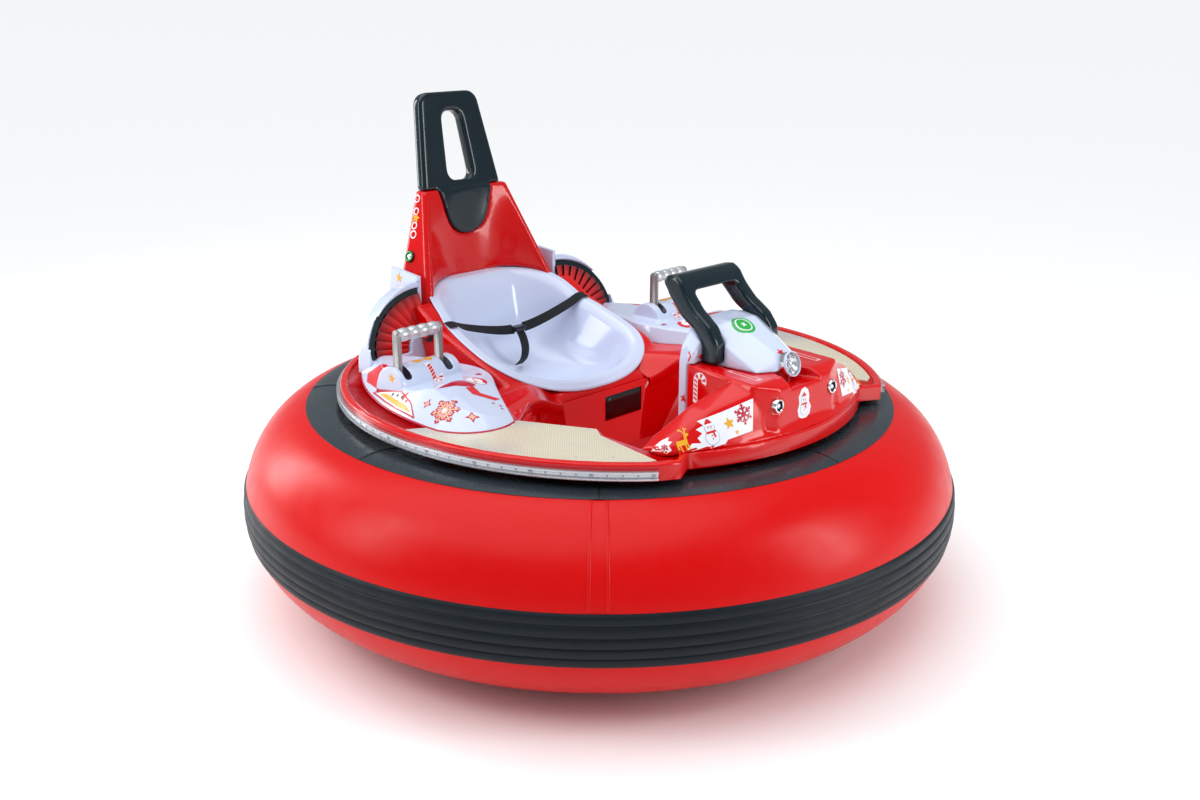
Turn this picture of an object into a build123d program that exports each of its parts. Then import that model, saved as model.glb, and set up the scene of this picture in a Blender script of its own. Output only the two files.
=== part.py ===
"""Single-seat inflatable bumper car, driven by two levers.

Millimetres: nose along +X, driver's left along +Y, up along +Z. The origin is on the floor, under the
axis of the inflatable tube."""

import os
from math import atan2, cos, degrees, radians, sin, sqrt

from build123d import *

# ---- driving dimensions --------------------------------------------------------------------------
# inflatable tube and the hoop that holds it
TUBE_OUTER_R = 850.0  # over the rubber band
BAND_T = 4.0  # rubber band on the widest part
PANEL_T = 2.0  # dark sheet on top of the tube
TUBE_CORE_R = 645.0  # radius of the ring's centre line
TUBE_MID_Z = 238.0
TUBE_RISE = 224.0  # tube's top over its centre line
TUBE_DROP = 198.0

# body disc
DISC_X = 34.0  # centre of the disc's ellipse
DISC_A = 646.0  # half length
DISC_B = 626.0  # half width
DECK_Z = 505.0  # top of the deck
DECK_T = 10.0
RIM_W = 18.0
RIM_TOP = 513.0
RIM_FOOT = 478.0
RIM_EDGE = 5.0  # rounding of the rim's top
NOSE_R = 580.0  # arc of the nose seen from above
NOSE_X = 42.0  # centre of that arc
STRIP_END_X = 536.0  # where the light strip stops

# seat
SEAT_FRONT_X = 8.0
SEAT_LIP_Z = 462.0
SEAT_BACK_X = -470.0
SEAT_HALF_W = 249.0
SEAT_WALL = 5.0
SEAT_GAP = 3.0

# footwell
WELL_FLOOR_Z = 300.0
WELL_WALL = 5.0

# tower and head-rest loop
TOWER_TOP_Z = 894.0
LOOP_TOP_Z = 1137.0
LOOP_T = 34.0
LOOP_LEAN = 12.3  # degrees, backwards

# nose box
BOX_REAR_X = 388.0
BOX_FRONT_X = 569.0
BOX_TOP_Z = 630.0
BOX_HALF_W = 140.0

# levers
LEVER_X = -155.0
LEVER_Y = 425.0
LEVER_PIVOT_Z = 537.0
GRIP_Z = 652.0
GRIP_L = 122.0  # over the two arms
GRIP_R = 15.0
ARM_W = 25.0
ARM_T = 6.0
LEVER_SHAFT_R = 8.0
HUMP_R = 48.0
LEVER_PUSH = 38.0  # degrees that the lever goes forward

# running gear
WHEEL_R = 100.0
WHEEL_W = 46.0
WHEEL_Y = 290.0
SHAFT_R = 12.5
CASTER_X = 310.0
CASTER_R = 50.0
CASTER_W = 30.0
CASTER_TRAIL = 32.0
FIT = 0.08  # radial play of a shaft in its bore

# frame
RAIL_Y = 225.0
RAIL = 40.0
RAIL_TOP_Z = 200.0
FRAME_PLATE = 8.0

os.makedirs("parts", exist_ok=True)
SIDES = (("left", 1), ("right", -1))


# ---- helpers -------------------------------------------------------------------------------------
def save(name, shape):
    """Writes one node."""
    export_step(shape, f"parts/{name}.step")


def block(x0, x1, y0, y1, z0, z1):
    """Box between two corners."""
    return Pos((x0 + x1) / 2, (y0 + y1) / 2, (z0 + z1) / 2) * Box(abs(x1 - x0), abs(y1 - y0), abs(z1 - z0))


def bar_y(x, z, r, y0, y1):
    """Round bar along Y."""
    return Pos(x, (y0 + y1) / 2, z) * Rot(90, 0, 0) * Cylinder(r, abs(y1 - y0))


def bar_z(x, y, r, z0, z1):
    """Round bar along Z."""
    return Pos(x, y, (z0 + z1) / 2) * Cylinder(r, z1 - z0)


def plan(points, z0, z1):
    """Upright prism over a straight-sided outline in plan."""
    return extrude(Pos(0, 0, z0) * make_face(Polyline(*points, close=True)), z1 - z0)


def across(points, y0, y1):
    """Prism along Y over a straight-sided outline of (x, z)."""
    face = Plane.XZ * make_face(Polyline(*points, close=True))
    return Pos(0, y1, 0) * extrude(face, y1 - y0)


def spun(face):
    """A face of (r, z) turned about the vertical axis."""
    return revolve(Plane.XZ * face, Axis.Z)


def mirrored(shape, side):
    """A piece drawn on the driver's left, or its mirror image."""
    return shape if side > 0 else mirror(shape, Plane.XZ)


def both(shape):
    """A piece drawn on the left together with its mirror image."""
    return shape + mirror(shape, Plane.XZ)


# ---- inflatable tube -----------------------------------------------------------------------------
TUBE_HALF_W = TUBE_OUTER_R - BAND_T - TUBE_CORE_R


def tube_arc(grow, start, end):
    """Part of the tube's outline in (r, z), pushed out by grow; degrees from outermost, over the top."""
    rise = (TUBE_RISE if end > 0 else TUBE_DROP) + grow
    centre = (TUBE_CORE_R, TUBE_MID_Z)
    return EllipticalCenterArc(centre, TUBE_HALF_W + grow, rise, start, arc_size=end - start)


def tube_skin(grow, start, end):
    """Sheet lying on the tube between two angles on one side of its widest point."""
    inner, outer = tube_arc(0, start, end), tube_arc(grow, start, end)
    return make_face([inner, outer, Line(inner @ 0, outer @ 0), Line(inner @ 1, outer @ 1)])


def bumper_tube():
    outline = [tube_arc(0, 0, 180), tube_arc(0, -180, 0)]
    return spun(make_face(outline))


def tube_band():
    return spun(tube_skin(BAND_T, 0, 13)) + spun(tube_skin(BAND_T, -19, 0))


def tube_top_panel():
    return spun(tube_skin(PANEL_T, 76, 120))


# ---- body disc -----------------------------------------------------------------------------------
def ellipse_y(x, inset=0.0):
    """Half width of the disc's ellipse at x."""
    return (DISC_B - inset) * sqrt(1 - ((x - DISC_X) / (DISC_A - inset)) ** 2)


def disc_face(inset=0.0):
    """Disc seen from above: an ellipse, a rounder arc at the nose and a tab at each end of the strip."""
    tail = STRIP_END_X - inset
    nose_y = 306.0
    nose = sqrt((NOSE_R - inset) ** 2 - nose_y**2) + NOSE_X
    side = ellipse_y(tail, inset)
    back = (DISC_X - DISC_A + inset, 0)
    shoulder_x = DISC_X - DISC_A * 0.05
    shoulder = ellipse_y(shoulder_x, inset)
    midway = tail * 0.62
    left = [
        ThreePointArc((shoulder_x, shoulder), (midway, ellipse_y(midway, inset)), (tail, side)),
        Line((tail, side), (tail + 24, side - 40)),
        Line((tail + 24, side - 40), (nose, nose_y)),
    ]
    right = [mirror(edge, Plane.XZ) for edge in left]
    rear_x = DISC_X - DISC_A * 0.72
    rear_y = ellipse_y(rear_x, inset)
    rear = [ThreePointArc((shoulder_x, s * shoulder), (rear_x, s * rear_y), back) for s in (1, -1)]
    front = ThreePointArc((nose, nose_y), (NOSE_X + NOSE_R - inset, 0), (nose, -nose_y))
    return make_face([*left, *right, *rear, front])


# footwell outline on the deck, left half, from the seat round to the nose: (x, y)
WELL_TOP = [(20, 150), (62, 290), (141, 392), (296, 315), (335, 336), (440, 340), (474, 250), (374, 128)]
WELL_BOTTOM = [(22, 120), (30, 190), (60, 225), (210, 235), (250, 235), (310, 215), (340, 170), (345, 110)]


def ring_of(points):
    """Left half of an outline and its mirror image, as one closed list."""
    return [*points, *[(x, -y) for x, y in reversed(points)]]


def well_space(wall):
    """Room inside the footwell, grown sideways and down by wall."""

    def grown(points):
        return [(x + (wall if x > 200 else -wall), y + wall) for x, y in points]

    top = make_face(Polyline(*ring_of(grown(WELL_TOP)), close=True))
    bottom = make_face(Polyline(*ring_of(grown(WELL_BOTTOM)), close=True))
    return loft([Pos(0, 0, DECK_Z + 0.5) * top, Pos(0, 0, WELL_FLOOR_Z - wall) * bottom], ruled=True)


def body_deck():
    plate = extrude(Pos(0, 0, DECK_Z - DECK_T) * disc_face(RIM_W - 1), DECK_T)
    rim = extrude(Pos(0, 0, RIM_FOOT) * (disc_face() - disc_face(RIM_W)), RIM_TOP - RIM_FOOT)
    seat_hole = plan(ring_of(PEDESTAL), DECK_Z - 2 * DECK_T, DECK_Z + 1)
    wing_hole = plan(WING, DECK_Z - 2 * DECK_T, DECK_Z + 1)
    lip_x, lip_y = WELL_TOP[0]
    bridge = block(PEDESTAL_FRONT_X - 1, lip_x + 2, -lip_y, lip_y, RIM_FOOT, DECK_Z + 1)
    deck = plate + rim - well_space(0) - seat_hole - both(wing_hole) - bridge
    rim_faces = [face for face in deck.faces() if abs(face.center().Z - RIM_TOP) < 0.1]
    return fillet([edge for face in rim_faces for edge in face.edges()], RIM_EDGE)


def footwell_tub():
    """Red moulding round the driver's feet, hung under the deck."""
    below_deck = block(-60, 520, -420, 420, WELL_FLOOR_Z - 2 * WELL_WALL, DECK_Z - DECK_T)
    above_lip = block(-60, 60, -150, 150, SEAT_LIP_Z - SEAT_WALL, DECK_Z)
    return (well_space(WELL_WALL) - well_space(0)) & below_deck - above_lip


def light_strip():
    """Lamp channel round the rim, open across the nose."""
    channel_w = 9.0
    z0, z1 = 481.0, 500.0
    ring = disc_face(-channel_w) - disc_face(0)
    behind = block(-700, STRIP_END_X, -700, 700, z0, z1) - block(400, 700, -330, 330, z0, z1)
    return extrude(Pos(0, 0, z0) * ring, z1 - z0) & behind


# ---- seat ----------------------------------------------------------------------------------------
def seat_line(drop=0.0):
    """Side view of the seat's rim, from the back to the front lip, lowered by drop."""
    return [
        ThreePointArc((SEAT_BACK_X - 20, 676 - drop), (-385, 655 - drop), (-300, 608 - drop)),
        Line((-300, 608 - drop), (-110, 543 - drop)),
        ThreePointArc((-110, 543 - drop), (-45, 512 - drop), (SEAT_FRONT_X + 12, SEAT_LIP_Z - drop)),
    ]


def under_seat_line(drop, floor):
    """Everything under the rim's side view, across the whole body."""
    edges = seat_line(drop)
    first, last = edges[0] @ 0, edges[-1] @ 1
    frame = Polyline((last.X, last.Y), (last.X, floor), (first.X, floor), (first.X, first.Y))
    face = Plane.XZ * make_face([*edges, frame])
    return Pos(0, 300, 0) * extrude(face, 600)


def rim_outline(grow):
    """Seat rim seen from above."""
    half = SEAT_HALF_W + grow
    back, front = SEAT_BACK_X - grow, SEAT_FRONT_X + grow
    corner_back = 120 + grow
    waist_x = -153.0
    left = [
        ThreePointArc((back, corner_back), (-405 - grow * 0.7, 195 + grow * 0.7), (-330, 224 + grow)),
        ThreePointArc((-330, 224 + grow), (-240, 243 + grow), (waist_x, half)),
        ThreePointArc((waist_x, half), (-38 + grow * 0.7, 190 + grow * 0.7), (front, 0)),
    ]
    right = [mirror(edge, Plane.XZ) for edge in left]
    return make_face([*left, *right, Line((back, corner_back), (back, -corner_back))])


# bucket sections: x, half width, height of the floor's middle, height where the side walls start
BUCKET = [
    (-462, 120, 655, 668),
    (-400, 178, 545, 590),
    (-320, 205, 462, 520),
    (-200, 222, 432, 480),
    (-80, 200, 436, 470),
    (-14, 110, 452, 466),
]


def bucket(grow):
    """Hollow of the seat, grown by a wall, open upwards."""
    lid = 740.0
    faces = []
    for x, half, floor, wall in BUCKET:
        reach = grow if x in (BUCKET[0][0], BUCKET[-1][0]) else 0
        at = x + (reach if x > -100 else -reach)
        a, b = (-half - grow, wall), (half + grow, wall)
        bottom = ThreePointArc(a, (0, floor - grow), b)
        walls = Polyline(b, (half + grow, lid), (-half - grow, lid), a)
        faces.append(Plane((at, 0, 0), x_dir=(0, 1, 0), z_dir=(1, 0, 0)) * make_face([bottom, walls]))
    return loft(faces, ruled=True)


def seat_shell():
    wall = bucket(SEAT_WALL) & under_seat_line(0, 400)
    flange = (under_seat_line(0, 400) - under_seat_line(SEAT_WALL, 300)) & extrude(rim_outline(0), 900)
    return wall + flange - bucket(0)


PEDESTAL_HALF_W = 262.0
PEDESTAL_FRONT_X = 15.0
PEDESTAL_REAR_X = -372.0
BOX_END_X = -300.0  # back of the box under the deck
PEDESTAL = [(PEDESTAL_REAR_X, PEDESTAL_HALF_W), (-34, PEDESTAL_HALF_W), (-5, 200), (PEDESTAL_FRONT_X, 150)]
# wing between seat, console and footwell
WING = [
    (-60, 262),
    (-34, 284),
    (84, 366),
    (136, 390),
    (57, 290),
    (PEDESTAL_FRONT_X, 150),
    (-5, 150),
    (-34, 180),
]


def seat_pedestal():
    """Moulding under the seat, hollow over the battery, with a wing to each side in front of the consoles."""
    body = plan(ring_of(PEDESTAL), DECK_Z - DECK_T, 700) & under_seat_line(SEAT_WALL, WELL_FLOOR_Z)
    box = plan(ring_of(PEDESTAL), WELL_FLOOR_Z, DECK_Z - DECK_T) & block(BOX_END_X, 100, -300, 300, 0, DECK_Z)
    body = body + (box & under_seat_line(SEAT_WALL, WELL_FLOOR_Z))
    wing = plan(WING, DECK_Z - DECK_T, DECK_Z)
    rear, front, half, top = BATTERY
    room = block(rear - 40, front + 30, -half - 40, half + 40, WELL_FLOOR_Z - 1, top + 15)
    return body + both(wing) - bucket(SEAT_WALL + SEAT_GAP) - room - seat_shell() - both(pod() + fan_panel())


# ---- tower ---------------------------------------------------------------------------------------
# tower sections: z, x of the hollow front's middle, then (x, half width) of the front, flank and back corners
TOWER = [
    (DECK_Z, -468, (-290, 246), (-470, 256), (-570, 120)),
    (600, -470, (-330, 226), (-482, 232), (-576, 112)),
    (704, -474, (-387, 196), (-495, 203), (-574, 100)),
    (TOWER_TOP_Z, -488, (-476, 138), (-508, 140), (-552, 92)),
]


TOWER_EDGE = 12.0


def tower_section(middle_x, front, flank, back, proud):
    """One level of the tower, its hollow front moved forward by proud."""
    (fx, fy), (_, flank_y) = front, flank
    (flank_x, _), (back_x, back_y) = flank, back
    left, right = (fx + proud, fy), (fx + proud, -fy)
    sides = Polyline(left, flank, back, (back_x, -back_y), (flank_x, -flank_y), right)
    face = make_face([sides, ThreePointArc(right, (middle_x + proud, 0), left)])
    return fillet(face.vertices(), TOWER_EDGE)


def tower_solid(proud):
    faces = [Pos(0, 0, z) * tower_section(middle_x, *corners, proud) for z, middle_x, *corners in TOWER]
    return loft(faces, ruled=True)


def tower():
    """Red back of the car, hollow towards the driver."""
    seat_room = under_seat_line(SEAT_WALL, DECK_Z) & block(PEDESTAL_REAR_X, -280, -300, 300, DECK_Z, 700)
    bucket_room = bucket(SEAT_WALL + SEAT_GAP) & under_seat_line(-SEAT_GAP, WELL_FLOOR_Z)
    solid = tower_solid(0) - bucket_room - seat_room - seat_shell() - headrest_loop()
    return solid - both(pod() + fan_panel())


LOOP_FOOT_HALF = 128.0
LOOP_TOP_HALF = 93.0
LOOP_CORNER = 34.0
# grip hole of the loop: (half width, height over the tower)
LOOP_HOLE = [(41.0, 20.0), (29.0, 194.0)]
LOOP_HOLE_CORNER = 24.0
LOOP_EDGE = 9.0
LOOP_FACE_X = -490.0  # front of the loop where it meets the tower


def headrest_loop():
    """Black loop behind the driver's head, with a tongue let into the tower's face."""
    height = LOOP_TOP_Z - TOWER_TOP_Z
    below = 20.0
    foot = LOOP_FOOT_HALF + below * (LOOP_FOOT_HALF - LOOP_TOP_HALF) / height
    corners = [(-foot, -below), (-LOOP_TOP_HALF, height), (LOOP_TOP_HALF, height), (foot, -below)]
    outline = make_face(Polyline(*corners, close=True))
    outline = fillet(outline.vertices().group_by(Axis.Y)[-1], LOOP_CORNER)
    (low_half, low), (high_half, high) = LOOP_HOLE
    hole_corners = [(-low_half, low), (-high_half, high), (high_half, high), (low_half, low)]
    hole = fillet(make_face(Polyline(*hole_corners, close=True)).vertices(), LOOP_HOLE_CORNER)
    upright = Plane((LOOP_FACE_X, 0, TOWER_TOP_Z), x_dir=(0, 1, 0), z_dir=(1, 0, 0))
    loop = extrude(upright * (outline - hole), -LOOP_T)
    flats = loop.faces().group_by(Axis.X)
    loop = fillet(flats[-1].edges() + flats[0].edges(), LOOP_EDGE)
    hinge = Pos(LOOP_FACE_X, 0, TOWER_TOP_Z)
    loop = hinge * Rot(0, -LOOP_LEAN, 0) * Pos(-LOOP_FACE_X, 0, -TOWER_TOP_Z) * loop
    loop = loop - block(-700, -300, -200, 200, TOWER_TOP_Z - 100, TOWER_TOP_Z)
    return loop + tongue()


TONGUE_HALF = 86.0
TONGUE_DROP = 118.0
TONGUE_PROUD = 6.0


def tongue():
    """Lower lip of the loop, rounded at its foot, standing proud of the tower's face."""
    foot = TOWER_TOP_Z - TONGUE_DROP
    shoulder = TONGUE_HALF - 18
    face = make_face(
        [
            Line((-TONGUE_HALF, TOWER_TOP_Z), (-shoulder, foot + 56)),
            ThreePointArc((-shoulder, foot + 56), (0, foot), (shoulder, foot + 56)),
            Line((shoulder, foot + 56), (TONGUE_HALF, TOWER_TOP_Z)),
            Line((TONGUE_HALF, TOWER_TOP_Z), (-TONGUE_HALF, TOWER_TOP_Z)),
        ]
    )
    depth = 120.0
    lip = extrude(Plane((LOOP_FACE_X - 30, 0, 0), x_dir=(0, 1, 0), z_dir=(1, 0, 0)) * face, depth)
    return lip & tower_solid(TONGUE_PROUD)


# ---- side pods and fans --------------------------------------------------------------------------
FAN_INNER_Y = 232.0
FAN_FOOT_Z = 540.0
FAN_W = 180.0
FAN_H = 150.0
POD_EDGE = 15.0
POD_LEAN = 16.8
POD_DEPTH = 52.0
FAN_SINK = 14.0
FAN_BACK_T = 4.0
BLADES = 8
HUB_SHARE = 0.36  # white plate at the fan's inner foot, as a share of the fan


def quarter(grow, drop=0.0):
    """Quarter ellipse of the pod in (y, z), grown by its white edge."""
    y0, z0 = FAN_INNER_Y, FAN_FOOT_Z - drop
    w, h = FAN_W + grow, FAN_H + grow + drop
    corner = [Line((y0, z0 + h), (y0, z0)), Line((y0, z0), (y0 + w, z0))]
    return make_face([*corner, EllipticalCenterArc((y0, z0), w, h, 0, arc_size=90)])


def pod_plane(x):
    """Leaning plane of the fan's face; x is where it meets the fan's foot."""
    lean = radians(POD_LEAN)
    return Plane((x, 0, FAN_FOOT_Z), x_dir=(0, 1, 0), z_dir=(cos(lean), 0, sin(lean)))


def on_pod(face, start, depth):
    """Prism backwards from the fan's face plane, from a start depth."""
    return extrude(pod_plane(POD_FACE_X) * Pos(0, -FAN_FOOT_Z, -start) * face, -depth)


POD_FACE_X = -348.0


def hub(grow):
    """Small quarter ellipse at the fan's inner foot."""
    y0, z0 = FAN_INNER_Y, FAN_FOOT_Z
    w, h = FAN_W * HUB_SHARE + grow, FAN_H * HUB_SHARE + grow
    corner = [Line((y0, z0 + h), (y0, z0)), Line((y0, z0), (y0 + w, z0))]
    return make_face([*corner, EllipticalCenterArc((y0, z0), w, h, 0, arc_size=90)])


def pod():
    """White housing of the fan."""
    drop = FAN_FOOT_Z - DECK_Z + 30
    solid = on_pod(quarter(POD_EDGE, drop), 0, POD_DEPTH) & extrude(disc_face(RIM_W + 4), 900)
    pocket = on_pod(quarter(0) - hub(0), 0, FAN_SINK)
    floor = block(-700, 0, 0, 700, 300, DECK_Z)
    return solid - pocket - floor


def fan_panel():
    """Black backing with red blades that spread from the hub; each blade leans like a shutter."""
    back = on_pod(quarter(-0.5) - hub(0.5), FAN_SINK - FAN_BACK_T, FAN_BACK_T)
    y0, z0 = FAN_INNER_Y, FAN_FOOT_Z
    near, far = HUB_SHARE + 0.03, 0.9
    step = radians(90 / BLADES)
    gap = radians(1.5)
    proud, sunk = 2.0, FAN_SINK - FAN_BACK_T
    blades = None
    for i in range(BLADES):
        a, b = i * step + gap, (i + 1) * step - gap
        rim = [
            (y0 + FAN_W * share * cos(angle), z0 + FAN_H * share * sin(angle))
            for share, angle in ((near, a), (far, a), (far, b), (near, b))
        ]
        plane = pod_plane(POD_FACE_X) * Pos(0, -FAN_FOOT_Z, 0)
        top = [(plane * Pos(*rim[k], -proud - lean)).position for k, lean in ((0, 0), (1, 0), (2, 4), (3, 4))]
        low = [(plane * Pos(y, z, -sunk)).position for y, z in rim]
        blade = ConvexPolyhedron([tuple(point) for point in (*top, *low)])
        blades = blade if blades is None else blades + blade
    return back + blades


def rear_fin():
    """White plate behind each pod, against the tower's flank."""
    points = [(-395, 640), (-512, 640), (-497, 718), (-395, 708)]
    return across(points, FAN_INNER_Y - 8, FAN_INNER_Y + 2) - pod() - tower() - fan_panel()


# ---- lever consoles ------------------------------------------------------------------------------
CONSOLE_TOP_Z = 547.0
CONSOLE_EDGE = 14.0  # how far the flank leans in
CONSOLE_TILT = 7.5  # degrees, the top falling to the front
HUMP_Y = (336.0, 506.0)
HUMP_WALL = 4.0
SLOT_SIDE = 5.5
# lever arms stand at the two ends of the grip
ARM_YS = [LEVER_Y - (GRIP_L - ARM_T) / 2, LEVER_Y + (GRIP_L - ARM_T) / 2]


def console_outline(inset):
    """Leaf-shaped outline of the left console in plan."""
    k = inset
    return make_face(
        [
            ThreePointArc((-392 + k, 414), (-170, 532 - k), (70 - k * 0.5, 563 - k)),
            ThreePointArc((70 - k * 0.5, 563 - k), (150 - k, 500 - k * 0.3), (146 - k, 410 + k * 0.3)),
            ThreePointArc((146 - k, 410 + k * 0.3), (40 - k, 342 + k), (-36 - k * 0.5, 292 + k)),
            ThreePointArc((-36 - k * 0.5, 292 + k), (-112, 268 + k), (-196, 284 + k)),
            ThreePointArc((-196, 284 + k), (-310 + k * 0.5, 318 + k), (-392 + k, 414)),
        ]
    )


def hump(r, y0, y1, foot):
    """Half barrel over the lever's pivot."""
    cap = block(LEVER_X - r, LEVER_X + r, y0, y1, foot, LEVER_PIVOT_Z)
    below = block(LEVER_X - r, LEVER_X + r, y0, y1, foot - 2 * r, foot)
    return bar_y(LEVER_X, LEVER_PIVOT_Z, r, y0, y1) + cap - below


def slot(y):
    """Sweep of one lever arm through the half barrel."""
    half_arm = degrees(atan2(ARM_W / 2 + SLOT_SIDE, HUMP_R))
    reach = 2 * HUMP_R
    start, end = 90 + half_arm, 90 - half_arm - LEVER_PUSH
    turns = [radians(angle) for angle in (start, end)]
    corners = [(LEVER_X + reach * cos(turn), LEVER_PIVOT_Z + reach * sin(turn)) for turn in turns]
    half_w = ARM_T / 2 + SLOT_SIDE
    return across([(LEVER_X, LEVER_PIVOT_Z), *corners], y - half_w, y + half_w)


def console():
    foot = Pos(0, 0, DECK_Z) * console_outline(0)
    solid = loft([foot, Pos(0, 0, CONSOLE_TOP_Z) * console_outline(CONSOLE_EDGE)], ruled=True)
    hinge_x, end_x = -105.0, 215.0
    end_z = CONSOLE_TOP_Z - (end_x - hinge_x) * sin(radians(CONSOLE_TILT))
    above = CONSOLE_TOP_Z + HUMP_R
    slope = [(hinge_x, CONSOLE_TOP_Z), (end_x, end_z), (end_x, above), (hinge_x, above)]
    solid = solid - across(slope, 200, 700)
    y0, y1 = HUMP_Y
    solid = solid + hump(HUMP_R, y0, y1, DECK_Z + 5)
    room = hump(HUMP_R - HUMP_WALL, y0 + HUMP_WALL, y1 - HUMP_WALL, DECK_Z)
    solid = solid - room - bar_y(LEVER_X, LEVER_PIVOT_Z, LEVER_SHAFT_R + FIT, y0 - 1, y1 + 1)
    for y in ARM_YS:
        solid = solid - slot(y)
    return solid - pod() - fan_panel()


def lever_arms():
    """Two flat bars on a cross shaft."""
    y0, y1 = HUMP_Y
    arms = bar_y(LEVER_X, LEVER_PIVOT_Z, LEVER_SHAFT_R, y0 + 0.5, y1 - 0.5)
    half = ARM_W / 2
    for y in ARM_YS:
        a, b = y - ARM_T / 2, y + ARM_T / 2
        arms = arms + block(LEVER_X - half, LEVER_X + half, a, b, LEVER_PIVOT_Z, GRIP_Z)
        arms = arms + bar_y(LEVER_X, GRIP_Z, half, a, b) + bar_y(LEVER_X, LEVER_PIVOT_Z, half, a, b)
    return arms


FINGERS = 4


def lever_grip():
    """Cast grip with four finger swells between the arms."""
    length = GRIP_L - 2 * ARM_T
    pitch = length / FINGERS
    waist = GRIP_R - 2.5
    edges = [Line((0, 0), (0, waist))]
    for i in range(FINGERS):
        edges.append(ThreePointArc((i * pitch, waist), ((i + 0.5) * pitch, GRIP_R), ((i + 1) * pitch, waist)))
    edges += [Line((length, waist), (length, 0)), Line((length, 0), (0, 0))]
    grip = revolve(make_face(edges), Axis.X)
    return Pos(LEVER_X, LEVER_Y - length / 2, GRIP_Z) * Rot(0, 0, 90) * grip


# ---- treadplates ---------------------------------------------------------------------------------
TREAD_T = 3.0


def treadplate():
    """Step plate between console, footwell and rim."""
    edge = RIM_W + 4
    b = (500, ellipse_y(500, edge))
    outline = make_face(
        [
            ThreePointArc((20, ellipse_y(20, edge)), (300, ellipse_y(300, edge)), b),
            Polyline(b, (512, 372), (334, 344), (300, 321), (146, 398)),
            Line((146, 398), (20, ellipse_y(20, edge))),
        ]
    )
    plate = extrude(Pos(0, 0, DECK_Z) * outline, TREAD_T)
    return plate - extrude(Pos(0, 0, DECK_Z - 1) * console_outline(-1.5), TREAD_T + 3)


# ---- nose ----------------------------------------------------------------------------------------
# fairing sections on the left: y, (x, z) of the upper rear edge, (x, z) of the ridge, (x, z) of the foot
FAIRING = [
    (130, (516, 624), (572, 612), (592, 520)),
    (190, (492, 602), (548, 594), (578, 518)),
    (240, (477, 581), (530, 580), (566, 516)),
    (300, (462, 545), (508, 548), (540, 514)),
    (345, (446, 509), (484, 521), (504, 515)),
]
SKIRT_TOP_Z = 532.0
SKIRT_LEAN = 26.0
CHANNEL_DROP = 8.0  # depth of the channel between the box's side ridges
CHANNEL_HALF = 96.0


def nose_shell():
    """Box with a fairing to each side and a flared skirt, standing on the front of the deck."""
    low, high = DECK_Z, BOX_TOP_Z
    box_points = [
        *[(BOX_REAR_X, y, z) for y, z in ((BOX_HALF_W, low), (BOX_HALF_W, high))],
        *[(BOX_FRONT_X, y, z) for y, z in ((158, low), (146, 621))],
        *[(594, y, z) for y, z in ((97, low), (88, 608))],
        (602, 97, low),
        (570, 44, 617),
    ]
    box = ConvexPolyhedron([*box_points, *[(x, -y, z) for x, y, z in box_points]])
    edges = [(x, y, z) for y, *row in FAIRING for x, z in row]
    feet = [(rear[0], y, low) for y, rear, *_ in FAIRING] + [(foot[0], y, low) for y, _, _, foot in FAIRING]
    fairing = ConvexPolyhedron([*edges, *feet])
    skirt_top = Pos(0, 0, SKIRT_TOP_Z) * disc_face(SKIRT_LEAN + 1)
    skirt = loft([Pos(0, 0, RIM_TOP - 3) * disc_face(1), skirt_top], ruled=True)
    skirt = skirt & block(452, 700, -320, 320, low, SKIRT_TOP_Z)
    channel = block(436, 700, -CHANNEL_HALF, CHANNEL_HALF, high - CHANNEL_DROP, high + 10)
    notch = plan([(530, 34), (620, 60), (620, -60), (530, -34)], high - 30, high + 10)
    rim = extrude(Pos(0, 0, RIM_FOOT) * (disc_face(-20) - disc_face(RIM_W)), RIM_TOP - RIM_FOOT)
    return box + both(fairing) + skirt - channel - notch - rim - eye_lamps() - nose_cowl()


# white cover: (x, half width, z) of the collar behind the box and of the tapering lid in front of it
COLLAR = [
    (365, 140, 638),
    (372, 138, 668),
    (356, 92, 702),
    (356, 40, 713),
    (404, 136, 652),
    (404, 92, 696),
    (404, 40, 710),
    (404, 140, 630),
]
LID = [
    (396, 92, 622),
    (396, 92, 696),
    (396, 40, 710),
    (427, 36, 711),
    (440, 84, 668),
    (436, 86, 622),
    (469, 26, 684),
    (524, 78, 622),
    (528, 22, 658),
    (546, 40, 622),
    (546, 24, 642),
]
DASH_X = 365.0


def nose_cowl():
    """White collar up the rear of the box; it runs on over the top as a tapering lid to the headlamp."""
    cover = None
    for rows in (COLLAR, LID):
        hull = ConvexPolyhedron([(x, side * y, z) for x, y, z in rows for side in (1, -1)])
        cover = hull if cover is None else cover + hull
    top = [(DASH_X, DECK_Z), (DASH_X, COLLAR[0][2]), (404, 652), (404, BOX_TOP_Z)]
    dash = across([*top, (BOX_REAR_X, BOX_TOP_Z), (BOX_REAR_X, DECK_Z)], -BOX_HALF_W, BOX_HALF_W)
    return cover + dash - front_handle() - headlamp()


# side view of the front handle: (x, z) up the front, over the bar and down the rear
HANDLE_SIDE = [
    (442, 630),
    (441, 676),
    (420, 708),
    (380, 735),
    (356, 759),
    (336, 790),
    (318, 803),
    (290, 799),
    (282, 784),
    (306, 752),
    (340, 716),
    (382, 690),
    (401, 668),
    (402, 630),
]
# front view, left half: (y, z) of the outer edge, then of the opening
HANDLE_OUTER = [(114, 600), (111, 680), (101, 820)]
HANDLE_OPENING = [(78, 600), (76, 680), (68, 768)]


def front_handle():
    """Black hoop over the cowl: its legs lean back with a bend and draw together towards the bar."""
    bent = across(HANDLE_SIDE, -160, 160)
    outer = extrude(Plane.YZ * make_face(Polyline(*ring_of_yz(HANDLE_OUTER), close=True)), 700)
    opening = extrude(Plane.YZ * make_face(Polyline(*ring_of_yz(HANDLE_OPENING), close=True)), 700)
    return (bent & outer) - opening


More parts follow.
